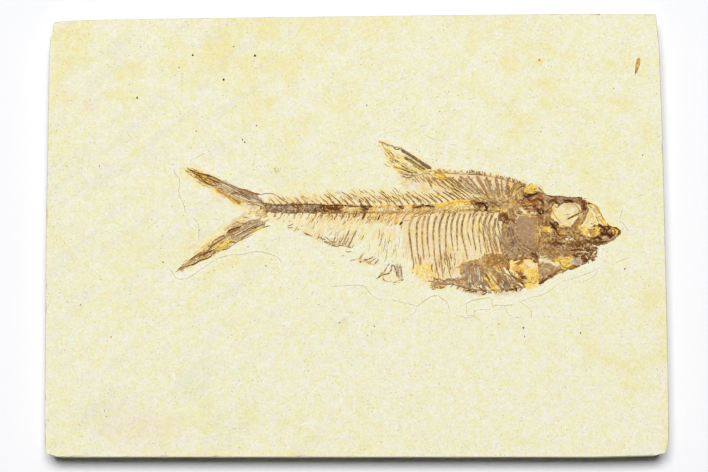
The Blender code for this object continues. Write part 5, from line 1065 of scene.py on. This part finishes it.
def limestone_finish(name):
    """Pale, fine grained limestone: stored stains under grain, specks and the layering of the sides, whose
    darker ground is painted shade.
    """
    stone = bpy.context.scene.fossil_stone
    finish = Finish(name)
    tint = finish.stored("tint", "Color")
    side = finish.stored("side")
    grain = finish.noise(0.38, 4.0, 0.7)
    blotch = finish.noise(1.7, 3.0, 0.55, 0.3)
    streak = finish.noise(3.2, 4.0, 0.65, 0.0, finish.turned(38, (1 / 5, 1, 1)))
    specks = finish.noise(0.5, 2.0, 0.5).over(0.65, 0.71) * finish.noise(5.0).over(0.44, 0.6)
    fleck = finish.noise(0.55, 4.0, 0.65, 0.3)
    hue = finish.noise(2.4, 2.0, 0.5, 0.6)
    dust = finish.noise(0.62, 3.0, 0.75, 0.2)
    flakes = finish.noise(0.6, 2.0, 0.5, 0.0, finish.turned(20, (1, 1, 1)))
    colour = finish.tinged(blotch.over(0.46, 0.66) * 0.7, tint, (0.995, 0.965, 0.74))
    colour = finish.tinged(blotch.over(0.46, 0.32) * 0.7, colour, (1.01, 1.02, 1.17), tint)
    colour = finish.tinged(hue.over(0.5, 0.62) * 0.8, colour, (1.005, 0.975, 1.03))
    colour = finish.tinged(hue.over(0.48, 0.36) * 0.8, colour, (0.975, 1.0, 0.97))
    colour = finish.tinged(fleck.over(0.5, 0.68) * 0.45, colour, (1.0, 0.965, 0.78))
    colour = finish.tinged(fleck.over(0.48, 0.32) * 0.45, colour, (1.0, 1.02, 1.2))
    colour = finish.tinged(streak.over(0.54, 0.72) * 0.35, colour, (0.93, 0.93, 0.99), tint)
    colour = finish.tinged(grain.over(0.56, 0.74) * 0.26, colour, (0.84, 0.8, 0.7))
    colour = finish.tinged(grain.over(0.44, 0.2) * 0.5, colour, (1.04, 1.04, 1.06))
    colour = finish.tinged(dust.over(0.5, 0.66), colour, (0.915, 0.915, 0.905))
    colour = finish.tinged(dust.over(0.49, 0.34), colour, (1.065, 1.065, 1.07))
    colour = finish.tinged(flakes.over(0.37, 0.3), colour, (1.05, 1.05, 1.07))
    colour = finish.mix(specks * 0.7, colour, stone.speck)
    layers = finish.noise(0.9, 4.0, 0.7, 0.3, finish.turned(0, (0.03, 0.03, 1.0)))
    # The sides' layers are the stone's own; the dark ground they lie on is painted shade of the upright
    # faces.
    edge = finish.mix(layers.over(0.35, 0.65), (0.66, 0.61, 0.45), (0.46, 0.41, 0.28))
    edge = finish.mix(layers.over(0.62, 0.7) * 0.6, edge, (0.32, 0.27, 0.17))
    edge = finish.mix(blotch.over(0.45, 0.7) * 0.35, edge, (0.5, 0.4, 0.23))
    relief = grain * 0.6 + blotch * 0.25 + layers * side * 0.9
    finish.set(Base_Color=finish.mix(side, colour, edge), Roughness=0.8 + grain * 0.14)
    finish.set(Normal=finish.bump(relief, 0.1, 0.5), Specular_IOR_Level=0.05)
    return finish.material


def bone_finish(name, gloss, crackle):
    """Mineralised bone: the stored stain, broken by cracks, dark pores and lighter scuffs."""
    finish = Finish(name)
    tint = finish.stored("tint", "Color")
    pores = finish.noise(0.42, 3.0, 0.6)
    lumps = finish.noise(0.9, 3.0, 0.6, 0.5)
    shards = {"Vector": finish.place, "Scale": 1 / (0.9 * MM), "Randomness": 1.0}
    cracks = finish.node("ShaderNodeTexVoronoi", {"feature": "DISTANCE_TO_EDGE"}, shards, output="Distance")
    seams = cracks.over(0.07, 0.0) * finish.noise(1.6).over(0.48, 0.6)
    colour = finish.tinged(pores.over(0.52, 0.66) * 0.5, tint, (0.62, 0.55, 0.48))
    colour = finish.tinged(pores.over(0.46, 0.3) * 0.5, colour, (1.4, 1.34, 1.2), tint)
    colour = finish.tinged(lumps.over(0.5, 0.66) * 0.3, colour, (1.18, 1.06, 0.88), tint)
    colour = finish.mix(seams * crackle, colour, (0.045, 0.022, 0.012))
    finish.set(Base_Color=colour, Roughness=gloss + lumps * 0.25, Specular_IOR_Level=0.06)
    finish.set(Normal=finish.bump(lumps * 0.6 + pores * 0.4 - seams * 0.5, 0.12, 0.6))
    return finish.material


# Roughness and strength of the cracks of the slots that differ from plain brown bone
BONE_GLOSS = {"dark_bone": (0.3, 0.7), "grey_bone": (0.52, 0.4), "orange_bone": (0.46, 0.4)}


def finish_for(slot):
    """The material of a slot, made once."""
    name = f"weathered_{slot}"
    if name in bpy.data.materials:
        return bpy.data.materials[name]
    if slot == "limestone":
        return limestone_finish(name)
    return bone_finish(name, *BONE_GLOSS.get(slot, (0.42, 0.5)))


def hand_over(piece, slot, *nodes):
    """Gives a finished piece its material, body and slot, and hides the solids that it stands for."""
    piece.data.materials.clear()
    piece.data.materials.append(finish_for(slot))
    work_on(piece)
    bpy.ops.object.shade_smooth_by_angle(angle=math.radians(50))
    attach(piece, "root")
    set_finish(piece, slot)
    if nodes:
        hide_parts(*nodes)


# --- The stone ---

# Width of the outermost row of cells, heights of the bevels, and what counts as level, in millimetres
NARROW_RIM = 0.4
UPPER_BEVEL, LOWER_BEVEL = 0.28, 0.3
NEARLY = 0.01

# The ground around the fish: left, right, low and high
FISH_GROUND = (-50, 78, -20, 29)


def plate_mesh(stone):
    """A closed box of even cells: two faces and the rings of the layers between them."""
    bpy.ops.object.select_all(action="DESELECT")
    across, deep = (round(2 * half * MM / stone.grid_step) for half in (HALF_X, HALF_Y))
    bpy.ops.mesh.primitive_grid_add(x_subdivisions=across, y_subdivisions=deep, size=1)
    plate = bpy.context.object
    bpy.ops.object.mode_set(mode="EDIT")
    bpy.ops.transform.resize(value=(2 * HALF_X * MM, 2 * HALF_Y * MM, 1))
    bpy.ops.transform.translate(value=(0, 0, SLAB_TOP * MM))
    bpy.ops.mesh.duplicate()
    bpy.ops.transform.translate(value=(0, 0, -SLAB_TOP * MM))
    bpy.ops.mesh.flip_normals()
    bpy.ops.mesh.select_mode(type="EDGE")
    bpy.ops.mesh.select_all(action="DESELECT")
    bpy.ops.mesh.select_non_manifold()
    bpy.ops.mesh.bridge_edge_loops(number_cuts=2 * stone.laminae - 1)
    bpy.ops.mesh.select_all(action="SELECT")
    bpy.ops.mesh.normals_make_consistent(inside=False)
    bpy.ops.object.mode_set(mode="OBJECT")
    return plate


def refine_near_bones(plate):
    """Splits the top cells that lie under and around the skeleton."""
    centres = rows_of(plate.data.polygons, "center").astype(float) / MM
    near = np.zeros(len(centres), bool)
    for width, route in CLEANED:
        near |= reach(centres, route) < width - 2.2
    pick(plate, "FACE", near & (centres[:, 2] > SLAB_TOP - NEARLY))
    bpy.ops.mesh.subdivide(number_cuts=3)
    bpy.ops.object.mode_set(mode="OBJECT")


def cleaned_share(places):
    """How far each place lies inside the cleaned ground, 0 to 1."""
    inside = np.zeros(len(places))
    worn = ragged(places, 5.0, 11)
    for width, route in CLEANED:
        inside = np.maximum(inside, ease((width - reach(places, route) + 1.6 * worn) / 1.2))
    return inside


def fit_outline(places, stone):
    """Moves the cells of the plain box to the plate's own slightly uneven outline."""
    # The outermost row of cells is narrow, so that the rim stays crisp
    shares = []
    for axis, half in ((0, HALF_X), (1, HALF_Y)):
        share = places[:, axis] / half
        second = (np.abs(share) < 0.9999) & (np.abs(share) > 1 - 1.5 * stone.grid_step / MM / half)
        shares.append((np.where(second, np.sign(share) * (1 - NARROW_RIM / half), share) + 1) / 2)
    left, right = (np.interp(places[:, 1], *np.array(edge).T) for edge in (LEFT_EDGE, RIGHT_EDGE))
    low, high = (np.interp(places[:, 0], *np.array(edge).T) for edge in (BOTTOM_EDGE, TOP_EDGE))
    places[:, 0] = left + (right - left) * shares[0]
    places[:, 1] = low + (high - low) * shares[1]


def layer_sides(places, side, around, stone):
    """Sets the rings of the sides at the heights of their layers and hands back how far each is set back."""
    rings = 2 * stone.laminae
    ring = np.round(places[side, 2] / (SLAB_TOP / rings)).astype(int)
    heights = np.linspace(0, SLAB_TOP, rings + 1)
    heights[1], heights[-2] = LOWER_BEVEL, SLAB_TOP - UPPER_BEVEL
    places[side, 2] = heights[ring]
    ledge = np.random.RandomState(5).uniform(0, 1, rings + 1)
    inset = 0.02 + 0.16 * ledge[ring] * (0.6 + 0.4 * cloud(around[side], 9.0, 21))
    return np.where(ring == rings - 1, 0, inset)


def top_relief(places, stone):
    """Height of the worn face over the solid's, which is lowest on the cleaned ground around the fish."""
    relief = 0.028 * ragged(places, 7.0, 41) + 0.014 * ragged(places, 1.6, 43) - 0.04
    worked = stone.bed_depth / MM + 0.035 * ragged(places, 0.9, 47) + 0.02 * ragged(places, 2.4, 48)
    return np.minimum(relief - cleaned_share(places) * worked, -0.005)


def under_relief(places):
    """How far the split underside stands off the table, in broad and fine lumps."""
    broad, fine = (np.clip(ragged(places, size, seed) + 0.5, 0, 1) for size, seed in ((6.0, 51), (1.4, 52)))
    return 0.05 + 0.16 * broad + 0.06 * fine


def wear_plate(plate, stone):
    """Gives the plain box its outline, the layers of its sides, chipped rims and uneven faces."""
    places = corners(plate)
    nominal = places.copy()
    top, bottom = nominal[:, 2] > SLAB_TOP - NEARLY, nominal[:, 2] < NEARLY
    outer = np.abs(nominal[:, :2]) > np.array([HALF_X, HALF_Y]) - NEARLY
    rim = outer.any(axis=1)
    side = rim & ~top & ~bottom
    fit_outline(places, stone)
    around = np.column_stack([places[:, 0] + places[:, 1] * 0.3, places[:, 1] - places[:, 0] * 0.2])
    chips = stone.rim_wear / MM * np.clip(ragged(around, 3.4, 31) - 0.34, 0, 0.5) * 2
    inset = np.zeros(len(places))
    inset[side] = layer_sides(places, side, around, stone)
    inset[rim & top] = (0.16 + chips)[rim & top]
    inset[rim & bottom] = (0.3 + chips)[rim & bottom]
    places[rim & top, 2] -= (0.03 + 0.1 * chips)[rim & top]
    places[:, :2] -= np.sign(nominal[:, :2]) * inset[:, None] * outer
    places[top & ~rim, 2] += top_relief(places[top & ~rim], stone)
    places[bottom & ~rim, 2] += under_relief(places[bottom & ~rim])
    set_corners(plate, places)
    layer = plate.data.attributes.new("side", "FLOAT", "POINT")
    layer.data.foreach_set("value", (side | (bottom & rim)).astype(np.float32))
    return places


def within(places, left, right, low, high):
    """Marks the places inside a box on the face."""
    x, y = places[:, 0], places[:, 1]
    return (x > left) & (x < right) & (y > low) & (y < high)


def near_bones(places):
    """Distance from each place to the nearest bone's solid, seen from above, up to 2 mm."""
    farthest = 2.0
    outline = []
    for node in bone_nodes().values():
        dots = corners(node)
        for edge in node.data.edges:
            start, end = dots[edge.vertices[0]], dots[edge.vertices[1]]
            parts = max(1, int(np.hypot(*(end - start)[:2]) / 0.25))
            outline.extend(start + (end - start) * part / parts for part in range(parts + 1))
    finder = finder_of([(x, y, 0) for x, y, z in outline])
    found = np.full(len(places), farthest)
    for index in np.nonzero(within(places, *FISH_GROUND))[0]:
        found[index] = min(farthest, finder.find((places[index, 0], places[index, 1], 0))[2])
    return found


def stain_plate(plate, places, stone, bone):
    """Colours the stone: clouds, streaks and blush, then the stains around the bones and a painted highlight
    along the flake edges.
    """
    colours = np.tile(np.array(stone.cream), (len(places), 1))
    yellowed = 0.15 + 0.85 * ease(cloud(places, 26.0, 581) / 1.2 + 0.5)
    colours = toward(colours, stone.yellow, ease((ragged(places, 5.4, 61) + 0.3) / 1.2) * yellowed)
    slant = np.array([places[:, 0] * 0.78 + places[:, 1] * 0.63, places[:, 1] * 0.78 - places[:, 0] * 0.63])
    streaks = ease((ragged(np.column_stack([slant[0] / 6, slant[1]]), 2.2, 71) - 0.05) / 0.6)
    left_half = ease((-places[:, 0] + 10) / 60)
    colours = toward(colours, stone.grey, streaks * 0.6 * (0.25 + 0.75 * left_half))
    corner = np.hypot(places[:, 0] + 58, (places[:, 1] + 53) * 1.3)
    colours = toward(colours, stone.blush, ease((14 - corner + 6 * ragged(places, 5.0, 75)) / 12) * 0.5)
    # The stains that only the upper face has, and a painted highlight along the flake edges
    upper = np.nonzero(places[:, 2] > SLAB_TOP - 1)[0]
    whole, colours, places = colours, colours[upper], places[upper]
    unevenness = ragged(places, 1.3, 81)
    mottle = ragged(places, 1.0, 85)
    tones = tones_of(bone, yellow=stone.yellow, blush=stone.blush, pink=stone.pink, pale=stone.pale,
                     olive=stone.olive)
    for tone, radius, strength, edge, broken, route in STONE_STAINS:
        holes = ease((mottle + 0.9 * broken - 0.15) / 0.5) * min(1, broken * 1.6) if broken else None
        brush(colours, places, unevenness, tones[tone], radius, route, edge * 0.55, strength * 0.85, holes)
    # A pale band along each flake edge is a painted highlight on the flake's small step.
    for width, route in FLAKE_EDGES:
        brush(colours, places, unevenness, tones["pale"], 0.5, route, 0.5, 0.5)
    close = within(places, *FISH_GROUND)
    streaked, spots = colours[close], places[close]
    for tone, radius, route in strewn(STONE_STREAKS, 300):
        brush(streaked, spots, unevenness[close], tones[tone], radius, route, 0.22, 0.6)
    colours[close] = streaked
    settled = ease((0.32 - near_bones(places) + 0.25 * unevenness) / 0.3)
    whole[upper] = toward(colours, tones["tan"], 0.22 * settled)
    keep_colours(plate, whole)


class FOSSIL_OT_slab(Operator):
    """Builds the limestone plate with its worn rims, layered sides, cleaned bed and stains"""

    bl_idname = "fossil.slab"
    bl_label = "Limestone slab"

    def execute(self, context):
        stone = context.scene.fossil_stone
        plate = plate_mesh(stone)
        plate.name = plate.data.name = "stone_plate"
        refine_near_bones(plate)
        places = wear_plate(plate, stone)
        stain_plate(plate, places, stone, context.scene.fossil_bone)
        hand_over(plate, "limestone", "slab")
        return {"FINISHED"}


# --- The bones ---

def bone_nodes():
    """The solids of the bones, by name."""
    return {name: NODES[name] for name in sorted(NODES) if name != "slab"}


def tones_of(bone, **more):
    """The tones of the bones, by name, and any more that are given."""
    tones = {name: getattr(bone, name) for name in bone.__annotations__}
    tones.update(more)
    return {name: np.array(value) for name, value in tones.items() if not isinstance(value, float)}


# Bones that broke up most, and how many times the plain crumbling they have
CRUMBLY = {
    "lower_jaw": 2.6, "upper_jaw": 1.8, "throat_plate": 1.8, "belly_crust": 1.8, "braincase": 1.5,
    "backbone": 1.5}


def rebuilt(name, node, bone):
    """A bone's solid, copied, merged and rebuilt in fine grains, then crumbled at its edges."""
    piece = node.copy()
    piece.data = node.data.copy()
    piece.name = piece.data.name = f"{name}_bone"
    bpy.context.collection.objects.link(piece)
    work_on(piece)
    bpy.ops.object.mode_set(mode="EDIT")
    bpy.ops.mesh.select_all(action="SELECT")
    bpy.ops.mesh.remove_doubles(threshold=1e-6)
    bpy.ops.object.mode_set(mode="OBJECT")
    apply_modifier(piece, "REMESH", mode="VOXEL", voxel_size=bone.voxel)
    middle = 0.15 if name.startswith("rib_") else 0.45
    broken = 1.6 * bone.crumble * CRUMBLY.get(name, 1.0)
    for texture, strength, level in ((lumps_of("bone_lumps", 0.9 * MM), broken, middle),
                                     (lumps_of("bone_crumbs", 0.35 * MM), bone.crumble, 0.5)):
        apply_modifier(piece, "DISPLACE", texture=texture, strength=strength, mid_level=level,
                       texture_coords="LOCAL")
    places = corners(piece)
    places[:, 2] -= np.maximum(places[:, 2] - SLAB_TOP, 0) * (1 - bone.proud)
    set_corners(piece, places)
    return piece


def painted_side_light(piece, colours, dust, strength):
    """Paints the steep sides of a bone towards a pale tone: painted light that lifts the shade on them."""
    upright = rows_of(piece.data.vertex_normals, "vector")[:, 2]
    return toward(colours, dust, strength * ease((0.8 - upright) / 0.6))


def stain_bone(piece, name, bone):
    """Colours a bone: its own tone, flecks, then the patches that run over all of the skeleton."""
    places = corners(piece)
    main, first, share, second, second_share = next(
        tones for start, tones in BONE_TONES.items() if name.startswith(start))
    seed = sum(map(ord, name))
    colours = np.tile(np.array(getattr(bone, main)), (len(places), 1))
    lie = math.radians(BONE_GRAIN.get(name, 0))
    grained = places[:, :2] @ np.array([[math.cos(lie), -math.sin(lie)], [math.sin(lie), math.cos(lie)]])
    if name in BONE_GRAIN:
        grained = grained * (0.22, 1.2)
    colours = flecked(colours, grained, getattr(bone, first), share, 0.8, seed, 0.8)
    colours = flecked(colours, grained, getattr(bone, second), second_share, 0.6, seed + 40, 0.8)
    patched(colours, places, grained, bone, 0.8, 0.14)
    colours = peppered(colours, places, 0.3 if name in CALM_BONES or name.startswith("rib_") else 1.0)
    # The steep sides are painted paler in amber or film: painted light that lifts their shade.
    dust, strength = bone.amber, 0.85 if name == "backbone" else 0.5
    if name.startswith(("rib_", "back_scutes", "anal_", "dorsal_", "pelvic_")):
        dust, strength = bone.film, 0.75
    keep_colours(piece, painted_side_light(piece, colours, dust, strength))


def film_level(places):
    """How far each place lies inside the crust between the bones, in millimetres; less than 0 is outside."""
    level = np.full(len(places), -9.0)
    for width, route in FILM_SHAPE:
        level = np.maximum(level, width - reach(places, route))
    return level + 0.45 * ragged(places, 1.2, 201)


# The corners of the crust's sheet before it is cut to shape
FILM_LOW, FILM_HIGH = np.array([-30.0, -17.5]), np.array([72.5, 14.5])

# Flecks of the crust: tone, share, size and seed
FILM_FLECKS = [("umber", 0.22, 0.7, 221), ("ochre", 0.22, 0.6, 223), ("cream", 0.12, 0.5, 225),
               ("dark", 0.06, 0.5, 227)]


class FOSSIL_OT_film(Operator):
    """Lays the thin crust of broken bone that fills the gaps between the larger bones"""

    bl_idname = "fossil.film"
    bl_label = "Bone crust"

    def execute(self, context):
        bone = context.scene.fossil_bone
        span = FILM_HIGH - FILM_LOW
        across, deep = np.round(span / (bone.film_step / MM)).astype(int)
        bpy.ops.object.select_all(action="DESELECT")
        bpy.ops.mesh.primitive_grid_add(x_subdivisions=int(across), y_subdivisions=int(deep), size=1)
        sheet = bpy.context.object
        sheet.name = sheet.data.name = "bone_crust"
        bpy.ops.object.mode_set(mode="EDIT")
        bpy.ops.transform.resize(value=(*(span * MM), 1))
        bpy.ops.transform.translate(value=(*((FILM_HIGH + FILM_LOW) / 2 * MM), SLAB_TOP * MM))
        bpy.ops.object.mode_set(mode="OBJECT")
        pick(sheet, "VERT", film_level(corners(sheet)) < -0.7)
        bpy.ops.mesh.delete(type="VERT")
        bpy.ops.object.mode_set(mode="OBJECT")
        places = corners(sheet)
        rise = -0.35 + 0.5 * ease((film_level(places) + 0.5) / 1.1) + 0.1 * ragged(places, 0.8, 205)
        places[:, 2] = SLAB_TOP + (rise + 0.05 * cloud(places, 0.3, 207))
        set_corners(sheet, places)
        apply_modifier(sheet, "SOLIDIFY", thickness=0.3 * MM, offset=-1)
        places = corners(sheet)
        colours = np.zeros((len(places), 3))
        unevenness = ragged(places, 1.1, 211)
        for tone, radius, route in FILM_TONES:
            brush(colours, places, unevenness, getattr(bone, tone), radius, route, 0.3)
        for tone, share, size, seed in FILM_FLECKS:
            colours = flecked(colours, places, getattr(bone, tone), share, size, seed, 0.75)
        patched(colours, places, places, bone, 0.7, 0.16)
        # The crust's steep sides are painted paler in amber: painted light that lifts their shade.
        keep_colours(sheet, painted_side_light(sheet, peppered(colours, places, 1.0), bone.amber, 0.4))
        hand_over(sheet, "brown_bone")
        return {"FINISHED"}


class FOSSIL_OT_bones(Operator):
    """Turns each bone's solid into crumbled, stained bone"""

    bl_idname = "fossil.bones"
    bl_label = "Bones"

    def execute(self, context):
        bone = context.scene.fossil_bone
        slots = {part["node"]: part["material_slot"] for part in frame["record"]["subparts"]}
        for name, node in bone_nodes().items():
            piece = rebuilt(name, node, bone)
            stain_bone(piece, name, bone)
            hand_over(piece, slots[name], name)
        return {"FINISHED"}


# --- Fine bones that lie over the rest ---

class Ground:
    """The top of what is already built, for laying fine bones on."""

    def __init__(self):
        verts, faces = [], []
        for piece in bpy.data.objects:
            if piece.get("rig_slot") and piece.type == "MESH":
                start = len(verts)
                verts.extend(v.co.copy() for v in piece.data.vertices)
                faces.extend([start + i for i in face.vertices] for face in piece.data.polygons)
        self.tree = BVHTree.FromPolygons(verts, faces)

    def heights(self, route):
        """Height of the ground under each stop, evened out along the route."""
        found = []
        for x, y in route:
            hit = self.tree.ray_cast(Vector((x * MM, y * MM, 0.02)), Vector((0, 0, -1)))[0]
            found.append(hit.z / MM if hit else SLAB_TOP)
        padded = np.pad(found, 2, mode="edge")
        return np.convolve(padded, np.ones(5) / 5, mode="valid")


WOBBLE = 0.035


def thread_bones(curve, strokes, ground, chance, sink, flat):
    """Draws a thread of uneven thickness along each stroke. Hands back their stops and the tone of each."""
    step = bpy.context.scene.fossil_bone.stroke_step / MM
    stops, tones = [], []
    for tone, width, route in strokes:
        way = smooth_route(route, step)
        way = way + np.array([[chance.gauss(0, WOBBLE), chance.gauss(0, WOBBLE)] for stop in way])
        heights = ground.heights(way)
        spline = curve.splines.new("POLY")
        spline.points.add(len(way) - 1)
        for index, (x, y) in enumerate(way):
            end = min(index, len(way) - 1 - index)
            radius = width / 2 * (0.55 + 0.45 * min(1, end / 2)) * chance.uniform(0.75, 1.2)
            height = heights[index] + radius * flat * (1 - 2 * sink)
            spline.points[index].co = (x * MM, y * MM, height * MM, 1)
            spline.points[index].radius = radius
            stops.append((x, y, height))
            tones.append(tone)
    return np.array(stops), tones


def lay_bones(name, strokes, ground, tones, seed, sink=0.3, flat=0.55):
    """Makes one piece of many thin, uneven, flattened bones along drawn routes."""
    curve = bpy.data.curves.new(name, "CURVE")
    curve.dimensions = "3D"
    curve.bevel_depth = MM
    curve.bevel_resolution = 1
    curve.use_fill_caps = True
    stops, stop_tones = thread_bones(curve, strokes, ground, random.Random(seed), sink, flat)
    draft = bpy.data.objects.new(name, curve)
    bpy.context.collection.objects.link(draft)
    work_on(draft)
    bpy.ops.object.convert(target="MESH")
    piece = bpy.context.object
    piece.name = piece.data.name = name
    bpy.ops.object.mode_set(mode="EDIT")
    bpy.ops.mesh.select_all(action="SELECT")
    bpy.ops.mesh.remove_doubles(threshold=1e-7)
    bpy.ops.mesh.normals_make_consistent(inside=False)
    bpy.ops.object.mode_set(mode="OBJECT")
    finder = finder_of(stops)
    places = corners(piece)
    nearest = [finder.find(place)[1] for place in places]
    middle = stops[nearest, 2]
    places[:, 2] = middle + (places[:, 2] - middle) * flat
    set_corners(piece, places)
    colours = np.array([tones[stop_tones[stop]] for stop in nearest])
    shade = 1 + 0.24 * ragged(places, 0.7, seed)
    keep_colours(piece, np.clip(colours * shade[:, None], 0, 1))
    hand_over(piece, SPECIAL_SLOTS.get(name, "brown_bone"))


# Pieces made of strewn splinters and of drawn strokes, and those whose slot isn't brown bone
STREWN_PIECES = {
    "head_splinters": HEAD_SPLINTERS, "belly_splinters_fine": BELLY_SPLINTERS,
    "backbone_splinters": BACKBONE_SPLINTERS, "tail_splinters": TAIL_SPLINTERS, "body_hairs": BODY_HAIRS}
DRAWN_PIECES = {
    "tail_rays_upper": TAIL_UPPER_STROKES, "tail_rays_lower": TAIL_LOWER_STROKES,
    "backbone_ridges": BACKBONE_STROKES, "spine_splinters": SPINE_STROKES,
    "anal_rays_rear": ANAL_REAR_STROKES, "anal_rays_front": ANAL_FRONT_STROKES,
    "pelvic_rays": PELVIC_STROKES, "dorsal_rays": DORSAL_STROKES, "nape_splinters": NAPE_STROKES,
    "belly_splinters": BELLY_STROKES, "flank_hairs": FLANK_STROKES, "skull_ridges": HEAD_STROKES}
SPECIAL_SLOTS = {
    "head_splinters": "dark_bone", "body_hairs": "grey_bone", "pelvic_rays": "grey_bone",
    "skull_ridges": "dark_bone", "mineral_grains": "dark_bone", "flake_lips": "limestone"}


class FOSSIL_OT_splinters(Operator):
    """Strews the skeleton with its many small splinters and hairs"""

    bl_idname = "fossil.splinters"
    bl_label = "Splinters"

    def execute(self, context):
        ground, tones = Ground(), tones_of(context.scene.fossil_bone)
        for seed, (name, grounds) in enumerate(STREWN_PIECES.items()):
            lay_bones(name, strewn(grounds, 400 + seed), ground, tones, 500 + seed, sink=0.45, flat=0.45)
        return {"FINISHED"}


class FOSSIL_OT_fine_bones(Operator):
    """Lays the spines, rays, ribs' splinters and skull ridges over the bones"""

    bl_idname = "fossil.fine_bones"
    bl_label = "Fine bones"

    def execute(self, context):
        ground, tones = Ground(), tones_of(context.scene.fossil_bone)
        for seed, (name, strokes) in enumerate(DRAWN_PIECES.items()):
            lay_bones(name, strokes, ground, tones, 100 + seed)
        return {"FINISHED"}


class FOSSIL_OT_stone_marks(Operator):
    """Lays the thin lips of lost flakes and the mineral grains on the stone's face"""

    bl_idname = "fossil.stone_marks"
    bl_label = "Flake edges and grains"

    def execute(self, context):
        ground, tones = Ground(), tones_of(context.scene.fossil_bone, seam=context.scene.fossil_stone.seam)
        # The lips take the seam tone, which is painted shade of the flakes' small steps.
        lips = [("seam", width * 1.5, route) for width, route in FLAKE_EDGES]
        lay_bones("flake_lips", lips, ground, tones, 301, sink=0.4)
        dots = [(tone, radius * 2.4, [(x - radius * 0.6, y), (x + radius * 0.6, y + 0.05)])
                for tone, radius, [(x, y)] in GRAINS]
        lay_bones("mineral_grains", dots, ground, tones, 302, sink=0.35)
        return {"FINISHED"}


# --- The stage ---

# How far the softbox stands off the slab's middle, as shares of its height
LAMP_LEFT, LAMP_BACK = 0.04, 0.23

# Where the middle of the view meets the slab's top face
AIM_X, AIM_Y = -0.509, -0.877


class FOSSIL_OT_stage(Operator):
    """Sets the white table, the overhead softbox, the light from all around and the camera"""

    bl_idname = "fossil.stage"
    bl_label = "Stage"

    def execute(self, context):
        stage = context.scene.fossil_stage
        bpy.ops.object.select_all(action="DESELECT")
        bpy.ops.mesh.primitive_plane_add(size=6, location=(0, 0, 0))
        table = bpy.context.object
        table.name = table.data.name = "table"
        finish = Finish("white_table")
        grain = finish.noise(3.0)
        white = finish.mix(grain * 0.04, stage.floor, tuple(c * 0.98 for c in stage.floor))
        finish.set(Base_Color=white, Roughness=0.85 + grain * 0.1, Specular_IOR_Level=0.1)
        table.data.materials.append(finish.material)
        height = stage.light_height
        bpy.ops.object.light_add(type="AREA", location=(-LAMP_LEFT * height, LAMP_BACK * height, height))
        lamp = bpy.context.object
        lamp.name = "softbox"
        lamp.data.shape = "RECTANGLE"
        lamp.data.size = stage.softbox_width
        lamp.data.size_y = stage.softbox_depth
        lamp.data.energy = stage.light_power
        lamp.data.color = (1.0, 0.995, 0.98)
        lamp.rotation_euler = (math.atan(-LAMP_BACK), math.atan(-LAMP_LEFT), 0)
        world = bpy.data.worlds.new("surroundings")
        context.scene.world = world
        world.use_nodes = True
        around = world.node_tree.nodes["Background"].inputs
        around["Color"].default_value = (1, 1, 1, 1)
        around["Strength"].default_value = stage.ambient
        aim = Vector((AIM_X * MM, AIM_Y * MM, SLAB_TOP * MM))
        back = Vector((0, -math.sin(stage.tilt), math.cos(stage.tilt)))
        bpy.ops.object.camera_add(location=aim + back * stage.distance, rotation=(stage.tilt, 0, 0))
        camera = bpy.context.object
        camera.data.sensor_width = 36
        camera.data.lens = stage.lens
        camera.data.clip_start = 0.01
        context.scene.camera = camera
        context.scene.view_settings.view_transform = "Standard"
        context.scene.view_settings.look = "None"
        return {"FINISHED"}


class FOSSIL_PT_panel(Panel):
    """Lists the steps of the build and the settings that a user would change"""

    bl_idname = "FOSSIL_PT_panel"
    bl_label = "Fossil fish slab"
    bl_space_type = "VIEW_3D"
    bl_region_type = "UI"
    bl_category = "Fossil"

    def draw(self, context):
        layout = self.layout
        for step in STEPS:
            layout.operator(step.bl_idname)
        for settings in (context.scene.fossil_stone, context.scene.fossil_bone, context.scene.fossil_stage):
            box = layout.box()
            for name in settings.__annotations__:
                box.prop(settings, name)


STEPS = (
    FOSSIL_OT_slab, FOSSIL_OT_film, FOSSIL_OT_bones, FOSSIL_OT_splinters, FOSSIL_OT_fine_bones,
    FOSSIL_OT_stone_marks, FOSSIL_OT_stage)
CLASSES = (BoneSettings, StoneSettings, StageSettings) + STEPS + (FOSSIL_PT_panel,)


def register():
    for kind in CLASSES:
        bpy.utils.register_class(kind)
    bpy.types.Scene.fossil_bone = PointerProperty(type=BoneSettings)
    bpy.types.Scene.fossil_stone = PointerProperty(type=StoneSettings)
    bpy.types.Scene.fossil_stage = PointerProperty(type=StageSettings)


def unregister():
    del bpy.types.Scene.fossil_stage
    del bpy.types.Scene.fossil_stone
    del bpy.types.Scene.fossil_bone
    for kind in reversed(CLASSES):
        bpy.utils.unregister_class(kind)


def main():
    register()
    bpy.ops.fossil.slab()
    bpy.ops.fossil.film()
    bpy.ops.fossil.bones()
    bpy.ops.fossil.splinters()
    bpy.ops.fossil.fine_bones()
    bpy.ops.fossil.stone_marks()
    bpy.ops.fossil.stage()
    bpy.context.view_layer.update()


if __name__ == "__main__":
    main()
